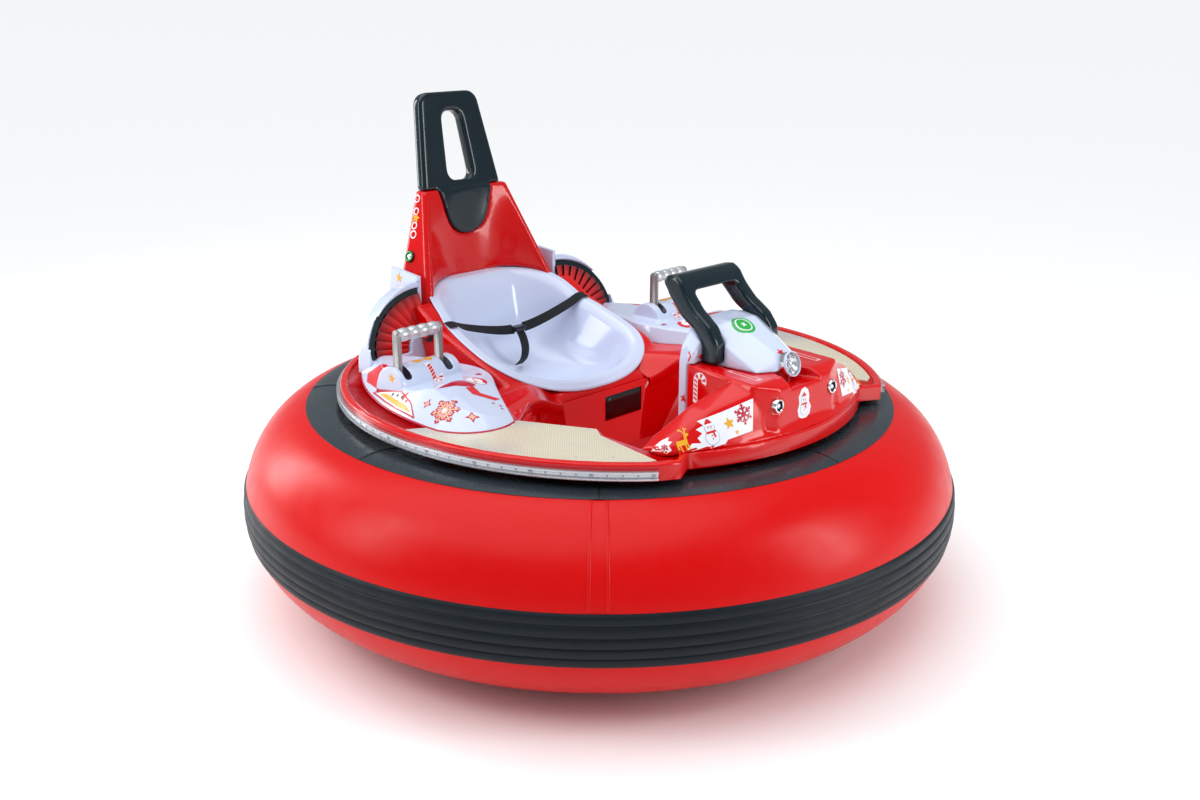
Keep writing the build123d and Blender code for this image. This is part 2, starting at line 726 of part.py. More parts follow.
def ring_of_yz(points):
    """Left half of an outline in (y, z) and its mirror image, as one closed list."""
    return [*points, *[(-y, z) for y, z in reversed(points)]]


def headlamp():
    """Clear lens in the tip of the cowl."""
    return Pos(548, 0, 633) * Rot(0, 72, 0) * Pos(0, 0, 4) * Cylinder(27, 16)


EYE_R = 15.0


def eye_lamps():
    """Two small round lamps on the nose."""
    lamp = Pos(594, 95, 574) * Rot(0, 90, 0) * Cylinder(EYE_R, 12)
    return both(lamp)


# ---- belt ----------------------------------------------------------------------------------------
STRAP_W = 30.0
STRAP_T = 2.0
BUCKLE = (-290.0, 0.0, 556.0)
BUCKLE_SIZE = (26.0, 44.0, 12.0)


def strap(stations):
    """Webbing through stations of (centre, width direction, thickness direction)."""
    quads = []
    corners = ((1, 1), (1, -1), (-1, 1), (-1, -1))
    for centre, wide, thick in stations:
        c, w, t = Vector(*centre), Vector(*wide).normalized(), Vector(*thick).normalized()
        t = (t - w * t.dot(w)).normalized()
        quads.append([c + w * (i * STRAP_W / 2) + t * (j * STRAP_T / 2) for i, j in corners])
    solid = None
    for a, b in zip(quads, quads[1:]):
        piece = ConvexPolyhedron([tuple(p) for p in (*a, *b)])
        solid = piece if solid is None else solid + piece
    return solid


def lap_strap():
    """From the seat's rim down to the buckle, on the left."""
    x, y, z = BUCKLE
    lean = (0.55, 0, -0.84)
    return strap(
        [
            ((-284, 238, 605.0), (0.946, 0, -0.324), (0.324, 0, 0.946)),
            ((-284, 210, 604.4), (0.946, 0, -0.324), (0.324, 0, 0.946)),
            ((-288, 110, 574), (0.75, 0, -0.66), (0.66, 0, 0.75)),
            ((x, BUCKLE_SIZE[1] / 2, z), lean, (0.84, 0, 0.55)),
        ]
    )


def crotch_strap():
    """From the buckle down to its slot in the seat."""
    x, y, z = BUCKLE
    across_y = (0, 1, 0)
    return strap(
        [
            ((x + 8, 0, z - BUCKLE_SIZE[2] / 2), across_y, (1, 0, 0)),
            ((-264, 0, 512), across_y, (1, 0, 0.1)),
            ((-272, 0, 478), across_y, (1, 0, -0.3)),
            ((-292, 0, 457), across_y, (0.7, 0, -0.7)),
        ]
    )


def belt_webbing():
    """The three straps."""
    return Compound(children=[lap_strap(), mirror(lap_strap(), Plane.XZ), crotch_strap()])


def belt_buckle():
    x, y, z = BUCKLE
    a, b, c = BUCKLE_SIZE
    return block(x - a / 2, x + a / 2, y - b / 2, y + b / 2, z - c / 2, z + c / 2)


# ---- chassis -------------------------------------------------------------------------------------
RAIL_END_X = 345.0
LIFT_X = -290.0  # upright hole through each rail for a transport pin
LIFT_R = 8.5
HOOP_T = 8.0
HOOP_TOP_Z = 262.0
HOOP_FLANGE = 58.0
SEAT_TO_TUBE = 0.3
CROSS_XS = (-CASTER_X, -190.0, -85.0, 120.0, CASTER_X)
POST = 30.0
# posts: x, y, top
POSTS = [(-330.0, 200.0, DECK_Z - DECK_T), (-250.0, 225.0, WELL_FLOOR_Z), (-10.0, 225.0, WELL_FLOOR_Z)]
PADS = [(90.0, 212.0), (255.0, 212.0)]
BATTERY = (-235.0, -55.0, 195.0, 380.0)  # rear x, front x, half width, top


def chassis_frame():
    """Welded ladder frame: two rails, cross-members and a plate over each caster."""
    rail_foot = RAIL_TOP_Z - RAIL
    half = RAIL / 2
    solid = both(block(-RAIL_END_X, RAIL_END_X, RAIL_Y - half, RAIL_Y + half, rail_foot, RAIL_TOP_Z))
    solid = solid - both(bar_z(LIFT_X, RAIL_Y, LIFT_R, rail_foot - 1, RAIL_TOP_Z + 1))
    for x in CROSS_XS:
        solid = solid + block(x - half, x + half, half - RAIL_Y, RAIL_Y - half, rail_foot, RAIL_TOP_Z)
    for x in (-CASTER_X, CASTER_X):
        solid = solid + block(x - 45, x + 45, -45, 45, rail_foot - FRAME_PLATE, rail_foot)
        solid = solid - bar_z(x, 0, KINGPIN_R + FIT, rail_foot - FRAME_PLATE - 1, rail_foot + 12)
    return solid


def tube_hoop():
    """Ring inside the tube, on a flange over the ends of the rails."""
    hoop_r = TUBE_CORE_R - TUBE_HALF_W - SEAT_TO_TUBE
    flange_t = 5.0
    height = HOOP_TOP_Z - RAIL_TOP_Z
    wall = Cylinder(hoop_r, height) - Cylinder(hoop_r - HOOP_T, height)
    flange = Cylinder(hoop_r, flange_t) - Cylinder(hoop_r - HOOP_FLANGE, flange_t)
    hoop = Pos(0, 0, (RAIL_TOP_Z + HOOP_TOP_Z) / 2) * wall + Pos(0, 0, RAIL_TOP_Z + flange_t / 2) * flange
    return hoop - body_posts()


def body_posts():
    """Upright tubes and pads that carry the body on the rails."""
    half = POST / 2
    rows = [*POSTS, *[(x, y, WELL_FLOOR_Z - WELL_WALL) for x, y in PADS]]
    posts = [block(x - half, x + half, y - half, y + half, RAIL_TOP_Z, top) for x, y, top in rows]
    return Compound(children=[*posts, *[mirror(post, Plane.XZ) for post in posts]])


def battery_pack():
    rear, front, half, top = BATTERY
    return block(rear, front, -half, half, RAIL_TOP_Z, top)


# ---- drive ---------------------------------------------------------------------------------------
GEARBOX_Y = (182.0, 254.0)
MOTOR_R = 42.0
MOTOR_Y = 36.0
RIM_R = 70.0


def drive_unit():
    """Gearbox bolted under a rail, with its motor pointing inwards."""
    y0, y1 = GEARBOX_Y
    box = block(-46, 46, y0, y1, 50, RAIL_TOP_Z - RAIL)
    motor = bar_y(0, WHEEL_R, MOTOR_R, MOTOR_Y, y0)
    return box + motor - bar_y(0, WHEEL_R, SHAFT_R + FIT, y1 - 32, y1 + 1)


def drive_rim():
    """Wheel centre with its shaft."""
    half = WHEEL_W / 2 - 3
    rim = bar_y(0, WHEEL_R, RIM_R, WHEEL_Y - half, WHEEL_Y + half)
    for s in (-1, 1):
        y = WHEEL_Y + s * half
        dish = bar_y(0, WHEEL_R, RIM_R - 8, y - 8, y + 8) - bar_y(0, WHEEL_R, 26, y - 9, y + 9)
        rim = rim - dish
    return rim + bar_y(0, WHEEL_R, SHAFT_R, GEARBOX_Y[1] - 31, WHEEL_Y)


def drive_tyre():
    half = WHEEL_W / 2
    edges = [
        Line((RIM_R, -half), (WHEEL_R - 8, -half)),
        ThreePointArc((WHEEL_R - 8, -half), (WHEEL_R - 2, -half + 3), (WHEEL_R, -half + 9)),
        Line((WHEEL_R, -half + 9), (WHEEL_R, half - 9)),
        ThreePointArc((WHEEL_R, half - 9), (WHEEL_R - 2, half - 3), (WHEEL_R - 8, half)),
        Line((WHEEL_R - 8, half), (RIM_R, half)),
        Line((RIM_R, half), (RIM_R, -half)),
    ]
    ring = revolve(make_face(edges), Axis.Y)
    return Pos(0, WHEEL_Y, WHEEL_R) * ring


# ---- casters -------------------------------------------------------------------------------------
KINGPIN_R = 8.0
AXLE_R = 6.0
FORK_HEAD_Z = 140.0
FORK_HEAD_R = 30.0
FORK_IN = 20.5
FORK_OUT = 25.5
FORK_EYE_R = 13.0


def caster_fork(x):
    """Swivel fork with its kingpin and axle; the wheel trails behind the pin."""
    plate_foot = RAIL_TOP_Z - RAIL - FRAME_PLATE
    head = bar_z(x, 0, FORK_HEAD_R, FORK_HEAD_Z, plate_foot - 0.5)
    kingpin = bar_z(x, 0, KINGPIN_R, FORK_HEAD_Z, plate_foot + FRAME_PLATE + 6)
    axle_x, axle_z = x - CASTER_TRAIL, CASTER_R
    front, rear, top = x + 16, x - FORK_HEAD_R, FORK_HEAD_Z + 4
    leg_face = [(front, top), (rear, top), (axle_x - FORK_EYE_R, axle_z), (axle_x + FORK_EYE_R, axle_z)]
    leg = across(leg_face, FORK_IN, FORK_OUT) + bar_y(axle_x, axle_z, FORK_EYE_R, FORK_IN, FORK_OUT)
    crown = block(rear, front, -FORK_OUT, FORK_OUT, FORK_HEAD_Z - 6, top)
    return head + kingpin + crown + both(leg) + bar_y(axle_x, axle_z, AXLE_R, -FORK_OUT - 5, FORK_OUT + 5)


def caster_wheel(x):
    axle_x = x - CASTER_TRAIL
    half = CASTER_W / 2
    wheel = fillet(bar_y(axle_x, CASTER_R, CASTER_R, -half, half).edges().filter_by(GeomType.CIRCLE), 4)
    hub = bar_y(axle_x, CASTER_R, 14, -half - 4, half + 4)
    return wheel + hub - bar_y(axle_x, CASTER_R, AXLE_R + FIT, -half - 5, half + 5)


# ---- all nodes -----------------------------------------------------------------------------------
SINGLE = [
    bumper_tube,
    tube_band,
    tube_top_panel,
    body_deck,
    footwell_tub,
    light_strip,
    seat_shell,
    seat_pedestal,
    tower,
    headrest_loop,
    nose_shell,
    nose_cowl,
    front_handle,
    headlamp,
    eye_lamps,
    belt_webbing,
    belt_buckle,
    chassis_frame,
    tube_hoop,
    body_posts,
    battery_pack,
]
PAIRED = [
    pod,
    fan_panel,
    rear_fin,
    console,
    lever_arms,
    lever_grip,
    treadplate,
    drive_unit,
    drive_rim,
    drive_tyre,
]
for make in SINGLE:
    save(make.__name__, make())
for make in PAIRED:
    solid = make()
    for side_name, side in SIDES:
        save(f"{side_name}_{make.__name__}", mirrored(solid, side))
for end_name, end_x in (("front", CASTER_X), ("rear", -CASTER_X)):
    save(f"{end_name}_caster_fork", caster_fork(end_x))
    save(f"{end_name}_caster_wheel", caster_wheel(end_x))
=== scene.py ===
from math import atan2, ceil, cos, hypot, pi, prod, radians, sin, sqrt

import bmesh
import bpy
from mathutils import Matrix, Vector
from mathutils.bvhtree import BVHTree
from mathutils.geometry import delaunay_2d_cdt


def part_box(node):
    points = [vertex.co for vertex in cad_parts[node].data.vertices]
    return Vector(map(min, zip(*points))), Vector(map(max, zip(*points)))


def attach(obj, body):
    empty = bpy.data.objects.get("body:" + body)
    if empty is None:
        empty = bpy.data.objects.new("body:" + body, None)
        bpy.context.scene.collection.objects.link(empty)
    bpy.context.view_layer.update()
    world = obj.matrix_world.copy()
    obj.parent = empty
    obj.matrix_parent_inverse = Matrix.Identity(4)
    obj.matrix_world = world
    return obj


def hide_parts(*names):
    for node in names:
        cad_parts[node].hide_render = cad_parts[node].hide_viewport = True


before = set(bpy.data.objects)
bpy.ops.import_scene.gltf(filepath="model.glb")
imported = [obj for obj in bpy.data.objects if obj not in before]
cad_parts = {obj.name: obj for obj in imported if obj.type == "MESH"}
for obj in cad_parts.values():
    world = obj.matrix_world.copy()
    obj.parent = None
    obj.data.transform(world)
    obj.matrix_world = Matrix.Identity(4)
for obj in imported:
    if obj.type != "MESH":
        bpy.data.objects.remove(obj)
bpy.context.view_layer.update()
SCENE = bpy.context.scene
MM = 0.001
SIDES = (("left", 1), ("right", -1))

# ---- sizes shared with the CAD, in metres ----
TUBE_LOW, TUBE_HIGH = (Vector(corner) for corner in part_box("bumper_tube"))
TUBE_MAX_R = TUBE_HIGH.x
TUBE_CORE_R = 0.645
TUBE_HALF_W = TUBE_MAX_R - TUBE_CORE_R
TUBE_MID_Z = 0.238
TUBE_RISE = TUBE_HIGH.z - TUBE_MID_Z
TUBE_DROP = TUBE_MID_Z - TUBE_LOW.z
SEAM_ANGLE = radians(-46.1)  # front seam of the tube
PANEL_SEAM_ANGLE = radians(-1.7)


# ---- materials ----
def add(tree, kind, values=None, **settings):
    """A node with its settings; values go to its inputs, as numbers or as links."""
    item = tree.nodes.new(kind)
    for key, value in settings.items():
        setattr(item, key, value)
    for key, value in (values or {}).items():
        if isinstance(value, bpy.types.NodeSocket):
            tree.links.new(value, item.inputs[key])
        else:
            item.inputs[key].default_value = value
    return item


def calc(tree, operation, a, b=0.0):
    return add(tree, "ShaderNodeMath", {0: a, 1: b}, operation=operation).outputs[0]


def ramp(tree, value, low, high, start=0.0, end=1.0):
    """Value mapped from low..high to start..end, held at both ends."""
    values = {"Value": value, "From Min": low, "From Max": high, "To Min": start, "To Max": end}
    return add(tree, "ShaderNodeMapRange", values).outputs[0]


def mixed(tree, factor, a, b):
    """Colour a where factor is 0 and b where it is 1; each is an (r, g, b) or a link."""
    a, b = ((*colour, 1.0) if isinstance(colour, tuple) else colour for colour in (a, b))
    return add(tree, "ShaderNodeMix", {0: factor, 6: a, 7: b}, data_type="RGBA").outputs[2]


def shade(colour, share):
    return tuple(min(1.0, channel * share) for channel in colour)


FINE = {"spread": 0.05, "grain": 700.0, "relief": 0.04}


class Surface:
    """A material on the Principled shader: patchy colour, patchy roughness and a fine relief.

    spread is how far the colour strays from its mean, grain and relief are the scale and strength of the
    fine relief, and waves adds a wider one: its scale, detail, strength and depth in mm."""

    def __init__(self, name, colour, rough, metal=0.0, coat=0.0, specular=0.5, waves=None, **fine):
        spread, grain, relief = (fine.get(key, usual) for key, usual in FINE.items())
        self.material = bpy.data.materials.new(name)
        self.material.use_nodes = True
        self.tree = self.material.node_tree
        self.shader = self.tree.nodes["Principled BSDF"]
        self.where = add(self.tree, "ShaderNodeTexCoord").outputs["Object"]
        dull, bright = (shade(colour, 1 + sign * spread) for sign in (-1, 1))
        self.colour = mixed(self.tree, self.noise(6.0, 3.0), dull, bright)
        self.rough = ramp(self.tree, self.noise(23.0, 4.0), 0.3, 0.7, rough * 0.88, rough * 1.12)
        self.height = None
        self.shader.inputs["Metallic"].default_value = metal
        self.shader.inputs["Specular IOR Level"].default_value = specular
        self.shader.inputs["Coat Weight"].default_value = coat
        self.shader.inputs["Coat Roughness"].default_value = 0.03
        self.relief(self.noise(grain), relief, 0.2)
        if waves:
            scale, detail, strength, depth = waves
            self.relief(self.noise(scale, detail), strength, depth)

    def noise(self, scale, detail=2.0):
        values = {"Vector": self.where, "Scale": scale, "Detail": detail}
        return add(self.tree, "ShaderNodeTexNoise", values).outputs["Fac"]

    def axes(self):
        return add(self.tree, "ShaderNodeSeparateXYZ", {0: self.where}).outputs[:]

    def relief(self, height, strength, depth):
        """Adds a bump over the ones before it; depth in mm."""
        values = {"Height": height, "Strength": strength, "Distance": depth * MM}
        if self.height is not None:
            values["Normal"] = self.height
        self.height = add(self.tree, "ShaderNodeBump", values).outputs[0]

    def done(self):
        for key, socket in (("Base Color", self.colour), ("Roughness", self.rough), ("Normal", self.height)):
            self.tree.links.new(socket, self.shader.inputs[key])
        return self.material


def vinyl_red():
    """Satin coated cloth of the tube: a fine grain and soft, slightly uneven gloss."""
    look = {"specular": 0.22, "waves": (14.0, 3.0, 0.10, 3.0), "spread": 0.04, "grain": 1500.0, "relief": 0.12}
    return Surface("tube_vinyl", (0.64, 0.0, 0.0), 0.33, **look).done()


def gel_red():
    """Polished red gel coat with the slight waviness of a laid-up moulding."""
    waves = (18.0, 2.0, 0.06, 2.0)
    return Surface("gel_red", (0.66, 0.001, 0.002), 0.17, coat=0.18, specular=0.30, waves=waves).done()


def gel_white():
    waves = (15.0, 2.0, 0.05, 2.0)
    return Surface("gel_white", (0.63, 0.71, 0.92), 0.17, coat=0.45, waves=waves, spread=0.03).done()


def panel_sheet():
    fine = {"spread": 0.25, "grain": 1300.0, "relief": 0.15}
    return Surface("panel_sheet", (0.020, 0.032, 0.040), 0.27, waves=(9.0, 3.0, 0.25, 3.0), **fine).done()


def band_rubber():
    fine = {"spread": 0.3, "grain": 1100.0, "relief": 0.3}
    return Surface("band_rubber", (0.004, 0.008, 0.013), 0.45, specular=0.22, **fine).done()


def moulding_black():
    """Shiny black moulding with a bluish sheen."""
    look = {"coat": 0.35, "specular": 0.3, "waves": (30.0, 2.0, 0.05, 1.5), "spread": 0.25, "relief": 0.1}
    return Surface("moulding_black", (0.001, 0.012, 0.019), 0.20, **look).done()


def webbing():
    """Woven belt: cross ribs and lengthwise threads."""
    dark, pale = (0.002, 0.004, 0.006), (0.010, 0.016, 0.022)
    made = Surface("webbing", dark, 0.55, spread=0.3, specular=0.3)

    def wave(scale, distortion, axis):
        values = {"Vector": made.where, "Scale": scale, "Distortion": distortion}
        return add(made.tree, "ShaderNodeTexWave", values, bands_direction=axis).outputs["Fac"]

    woven = calc(made.tree, "MULTIPLY", wave(260.0, 0.4, "Y"), wave(180.0, 0.3, "X"))
    made.relief(woven, 0.9, 0.6)
    made.colour = mixed(made.tree, woven, dark, pale)
    return made.done()


def brushed(name, colour, rough, stretch=(1, 1, 30)):
    """Metal with fine brushing; stretch is how much closer the lines lie along each axis."""
    made = Surface(name, colour, rough, metal=0.85, spread=0.08, relief=0.1)
    stretched = add(made.tree, "ShaderNodeMapping", {"Vector": made.where, "Scale": stretch}).outputs[0]
    values = {"Vector": stretched, "Scale": 60.0, "Detail": 3.0}
    lines = add(made.tree, "ShaderNodeTexNoise", values).outputs["Fac"]
    made.relief(lines, 0.2, 0.2)
    made.rough = ramp(made.tree, lines, 0.3, 0.7, rough * 0.75, rough * 1.25)
    return made.done()


def cast_silver():
    return Surface("cast_silver", (0.60, 0.62, 0.65), 0.34, 0.6, coat=0.2, grain=500.0, relief=0.5).done()


def tread_aluminium():
    """Yellowish sheet with fine raised dots set on the slant, turning grey towards the console as a painted
    reflection.
    """
    yellowish, painted_reflection_grey, dot_tone = (0.94, 0.87, 0.67), (0.66, 0.67, 0.68), (0.50, 0.44, 0.31)
    made = Surface("tread_aluminium", yellowish, 0.34, metal=0.35, coat=0.15, spread=0.04)
    tree, (x, y, _) = made.tree, made.axes()
    pitch = 2 * pi / (13.0 * MM)
    slants = [calc(tree, operation, x, y) for operation in ("ADD", "SUBTRACT")]
    ups, downs = (calc(tree, "SINE", calc(tree, "MULTIPLY", slant, pitch)) for slant in slants)
    dots = ramp(tree, calc(tree, "MULTIPLY", ups, downs), 0.1, 0.75)
    made.relief(dots, 0.9, 0.9)
    # painted reflection: grey towards the console stands for how the sheet catches the light there
    reflection_towards_console = ramp(tree, calc(tree, "ADD", x, made.noise(5.0)), 0.80, 0.56)
    # the raised dots are coloured darker than the sheet
    made.colour = mixed(tree, dots, mixed(tree, reflection_towards_console, made.colour, painted_reflection_grey), dot_tone)
    return made.done()


def painted(name, colour, rough):
    return Surface(name, colour, rough, spread=0.12, grain=400.0, relief=0.3).done()


def tyre_rubber():
    return Surface("tyre_rubber", (0.016, 0.016, 0.017), 0.7, spread=0.3, grain=300.0, relief=0.5).done()


def clear_plastic():
    made = Surface("clear_plastic", (0.92, 0.94, 0.97), 0.06, spread=0.01, relief=0.02)
    made.shader.inputs["Transmission Weight"].default_value = 0.85
    made.shader.inputs["IOR"].default_value = 1.45
    return made.done()


def chrome():
    return Surface("chrome", (0.80, 0.82, 0.85), 0.08, metal=1.0, spread=0.04, relief=0.03).done()


def film(name, colour):
    """Printed film: even ink with faint dots of the print."""
    return Surface(f"film_{name}", colour, 0.30, coat=0.12, spread=0.04, grain=900.0, relief=0.05).done()


MATERIAL = {
    "tube": vinyl_red(),
    "band": band_rubber(),
    "panel": panel_sheet(),
    "red": gel_red(),
    "white": gel_white(),
    "black": moulding_black(),
    "webbing": webbing(),
    "buckle": painted("buckle_black", (0.010, 0.013, 0.016), 0.3),
    "steel": brushed("lever_steel", (0.34, 0.33, 0.33), 0.46),
    "silver": cast_silver(),
    "tread": tread_aluminium(),
    "frame": painted("frame_black", (0.03, 0.03, 0.034), 0.42),
    "battery": painted("battery_case", (0.085, 0.088, 0.095), 0.5),
    "drive": painted("drive_grey", (0.15, 0.16, 0.17), 0.4),
    "rim": brushed("rim_cast", (0.55, 0.55, 0.57), 0.38, (4, 4, 4)),
    "tyre": tyre_rubber(),
    "zinc": brushed("fork_zinc", (0.58, 0.60, 0.62), 0.32, (3, 3, 3)),
    "caster": painted("caster_grey", (0.11, 0.11, 0.12), 0.6),
    "clear": clear_plastic(),
    "chrome": chrome(),
    "strip": brushed("strip_channel", (0.62, 0.64, 0.68), 0.30, (6, 6, 30)),
    "chip": painted("lamp_chip", (0.42, 0.44, 0.48), 0.25),
}
FILM_COLOURS = {
    "red": (0.72, 0.006, 0.012),
    "dark_red": (0.50, 0.004, 0.03),
    "white": (0.86, 0.88, 0.93),
    "gold": (0.85, 0.42, 0.01),
    "orange": (0.92, 0.46, 0.30),
    "green": (0.01, 0.42, 0.05),
    "black": (0.004, 0.005, 0.006),
    "pink": (0.85, 0.42, 0.42),
    "ice": (0.40, 0.52, 0.72),
}
MATERIAL.update({f"film_{name}": film(name, colour) for name, colour in FILM_COLOURS.items()})


# ---- pieces ----
def smooth(mesh, angle):
    mesh.shade_smooth()
    mesh.set_sharp_from_angle(angle=radians(angle))


def piece(name, mesh, material, slot, body="hull", replaces=(), angle=40):
    """An object in the scene that rides on a body."""
    item = bpy.data.objects.new(name, mesh)
    SCENE.collection.objects.link(item)
    for key in (material,) if isinstance(material, str) else material:
        mesh.materials.append(MATERIAL[key])
    smooth(mesh, angle)
    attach(item, body)
    if replaces:
        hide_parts(*replaces)
    return item


def mesh_of(name, bm):
    """Mesh with all that bm holds; bm is freed."""
    mesh = bpy.data.meshes.new(name)
    bm.to_mesh(mesh)
    bm.free()
    return mesh


def bridge(bm, rows, closed=False, slot=0):
    """Faces between neighbouring rows of verts; closed rows are rings."""
    for a, b in zip(rows, rows[1:]):
        for k in range(len(a) if closed else len(a) - 1):
            after = (k + 1) % len(a)
            bm.faces.new((a[k], a[after], b[after], b[k])).material_index = slot


def skin(name, rows, material, slot, closed_u=False, closed_v=False, capped=False, **settings):
    """Piece over rows of points; u runs along a row and v from row to row."""
    bm = bmesh.new()
    grid = [[bm.verts.new(point) for point in row] for row in rows]
    bridge(bm, grid + grid[:1] if closed_v else grid, closed_u)
    bmesh.ops.remove_doubles(bm, verts=bm.verts, dist=1e-6)
    if capped:
        bmesh.ops.holes_fill(bm, edges=bm.edges)
    bmesh.ops.recalc_face_normals(bm, faces=bm.faces)
    return piece(name, mesh_of(name, bm), material, slot, **settings)


def cad_piece(name, node, material, slot, body="hull"):
    """Own copy of a CAD node in its place, with the flat faces whole again."""
    bm = bmesh.new()
    bm.from_mesh(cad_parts[node].data)
    bmesh.ops.remove_doubles(bm, verts=bm.verts, dist=5e-6)
    return piece(name, mesh_of(name, bm), material, slot, body, (node,))


def modified(item, *modifiers):
    """Runs modifiers, each a kind and its settings, and leaves their result as the mesh."""
    for kind, settings in modifiers:
        added = item.modifiers.new(kind, kind)
        for key, value in settings.items():
            setattr(added, key, value)
    bpy.context.view_layer.update()
    result = bpy.data.meshes.new_from_object(item.evaluated_get(bpy.context.evaluated_depsgraph_get()))
    old = item.data
    item.modifiers.clear()
    item.data = result
    result.name = item.name
    bpy.data.meshes.remove(old)
    return item


def voxels(size):
    return "REMESH", {"mode": "VOXEL", "voxel_size": size * MM}


def rounding(times, **settings):
    return "SMOOTH", {"factor": 0.5, "iterations": times, **settings}


def kept_faces(share):
    return "DECIMATE", {"ratio": share}


def thickened(size, offset):
    return "SOLIDIFY", {"thickness": size * MM, "offset": offset}


def moulded(name, node, material, slot, voxel, rounds, keep):
    """Copy of a CAD node with its edges rounded as a moulding's are; voxel in mm sets the detail."""
    item = cad_piece(name, node, material, slot)
    modified(item, voxels(voxel), rounding(rounds), kept_faces(keep))
    smooth(item.data, 70)


BROKEN_EDGE_ANGLE = 25  # under a broken edge's own steps, so that the faces beside it stay flat


def tidied(name, node, material, slot, body="hull", width=0.0, angle=35):
    """Copy of a CAD node with smooth round faces and, where width in mm is given, broken edges."""
    item = cad_piece(name, node, material, slot, body)
    bm = bmesh.new()
    bm.from_mesh(item.data)
    bmesh.ops.dissolve_limit(bm, angle_limit=radians(2), verts=bm.verts, edges=bm.edges)
    if width:
        inner = [edge for edge in bm.edges if len(edge.link_faces) == 2]
        sharp = [edge for edge in inner if edge.calc_face_angle() > radians(angle)]
        bmesh.ops.bevel(bm, geom=sharp, offset=width * MM, segments=2, affect="EDGES", clamp_overlap=True)
        angle = min(angle, BROKEN_EDGE_ANGLE)
    bmesh.ops.triangulate(bm, faces=bm.faces)
    bm.to_mesh(item.data)
    bm.free()
    smooth(item.data, angle)
    return item


def between(low, high, count):
    """Values in even steps from low to high."""
    return [low + (high - low) * i / count for i in range(count + 1)]


def round_angles(count, start=0.0):
    """Angles in even steps once round."""
    return [start + 2 * pi * k / count for k in range(count)]


def arc(a, b, c, count):
    """Points from a to c on the circle through a, b and c, in the plane."""
    (ax, ay), (bx, by), (cx, cy) = a, b, c
    turn = 2 * (ax * (by - cy) + bx * (cy - ay) + cx * (ay - by))
    a2, b2, c2 = ax * ax + ay * ay, bx * bx + by * by, cx * cx + cy * cy
    ox = (a2 * (by - cy) + b2 * (cy - ay) + c2 * (ay - by)) / turn
    oy = (a2 * (cx - bx) + b2 * (ax - cx) + c2 * (bx - ax)) / turn
    r = hypot(ax - ox, ay - oy)
    start, middle, end = (atan2(y - oy, x - ox) for x, y in (a, b, c))
    sweep = (end - start) % (2 * pi)
    if (middle - start) % (2 * pi) > sweep:
        sweep -= 2 * pi
    angles = [start + sweep * i / count for i in range(count + 1)]
    return [(ox + r * cos(angle), oy + r * sin(angle)) for angle in angles]


def joined(*runs):
    """Runs of points as one list, without the points where they meet twice."""
    points = []
    for run in runs:
        points += [p for p in run if not points or (Vector(p) - Vector(points[-1])).length > 1e-6]
    return points


# ---- inflatable tube ----
def tube_point(angle, turn, grow=0.0):
    """Point on the tube; angle in radians from outermost over the top, turn about the vertical axis."""
    rise = TUBE_RISE if sin(angle) > 0 else TUBE_DROP
    r = TUBE_CORE_R + (TUBE_HALF_W + grow) * cos(angle)
    return Vector((r * cos(turn), r * sin(turn), TUBE_MID_Z + (rise + grow) * sin(angle)))


def away(turn, seam):
    """Angle between a turn and a seam."""
    return abs((turn - seam + pi) % (2 * pi) - pi)


SEAM_SINK, SEAM_RIPPLE, SEAM_REACH = 1.1 * MM, 0.7 * MM, radians(1.6)


def seam_pull(angle, turn):
    """How far the skin sinks beside the front and rear seams, in metres."""
    near = min(away(turn, SEAM_ANGLE), away(turn, SEAM_ANGLE + pi))
    ripple = 0.5 + 0.5 * sin(angle * 46 + 3 * cos(turn * 9))
    return (SEAM_SINK + SEAM_RIPPLE * ripple) / (1 + (near / SEAM_REACH) ** 2)


def tube_ring():
    """Skin of the tube, drawn in a little at its seams."""
    around, over = 288, 96
    rows = []
    for turn in round_angles(around, SEAM_ANGLE):
        rows.append([tube_point(a, turn, -seam_pull(a, turn)) for a in round_angles(over)])
    skin("tube_ring", rows, "tube", "tube_red", True, True, replaces=("bumper_tube",), angle=80)


def welds(name, turns, half_w, span, steps, outline, material, slot):
    """Raised lines across the tube at some turns; outline holds (share of half_w, height in mm)."""
    bm = bmesh.new()
    for turn in turns:
        rows = []
        for angle in between(*span, steps):
            rows.append([bm.verts.new(tube_point(angle, turn + u * half_w, h * MM)) for u, h in outline])
        bridge(bm, rows)
    bmesh.ops.recalc_face_normals(bm, faces=bm.faces)
    piece(name, mesh_of(name, bm), material, slot, angle=60)


def tube_seams():
    """Two welded lines at the front and rear joints of the skin."""
    half_gap = radians(1.25)
    turns = [seam + side * half_gap for seam in (SEAM_ANGLE, SEAM_ANGLE + pi) for side in (-1, 1)]
    outline = ((-1.6, -1.5), (-1, 0.2), (0, 0.9), (1, 0.2), (1.6, -1.5))
    welds("tube_seams", turns, radians(0.16), (radians(13.5), radians(75)), 60, outline, "tube", "tube_red")


RIBS = 5


def rubber_band():
    """Ribbed band round the widest part: raised ribs with grooves between them."""
    low, high = radians(-19), radians(13)
    around, across = 240, RIBS * 10
    base, rise = 0.3, 3.5
    rows = []
    for turn in round_angles(around):
        row = []
        for share in between(0, 1, across):
            wave = abs(sin(pi * share * RIBS)) ** 0.55
            lip = min(1.0, share * across / 2, (1 - share) * across / 2)
            row.append(tube_point(low + (high - low) * share, turn, (base + rise * wave) * lip * MM))
        rows.append(row)
    skin("rubber_band", rows, "band", "band_rubber", closed_v=True, replaces=("tube_band",), angle=50)


PANEL_SEAMS = 8


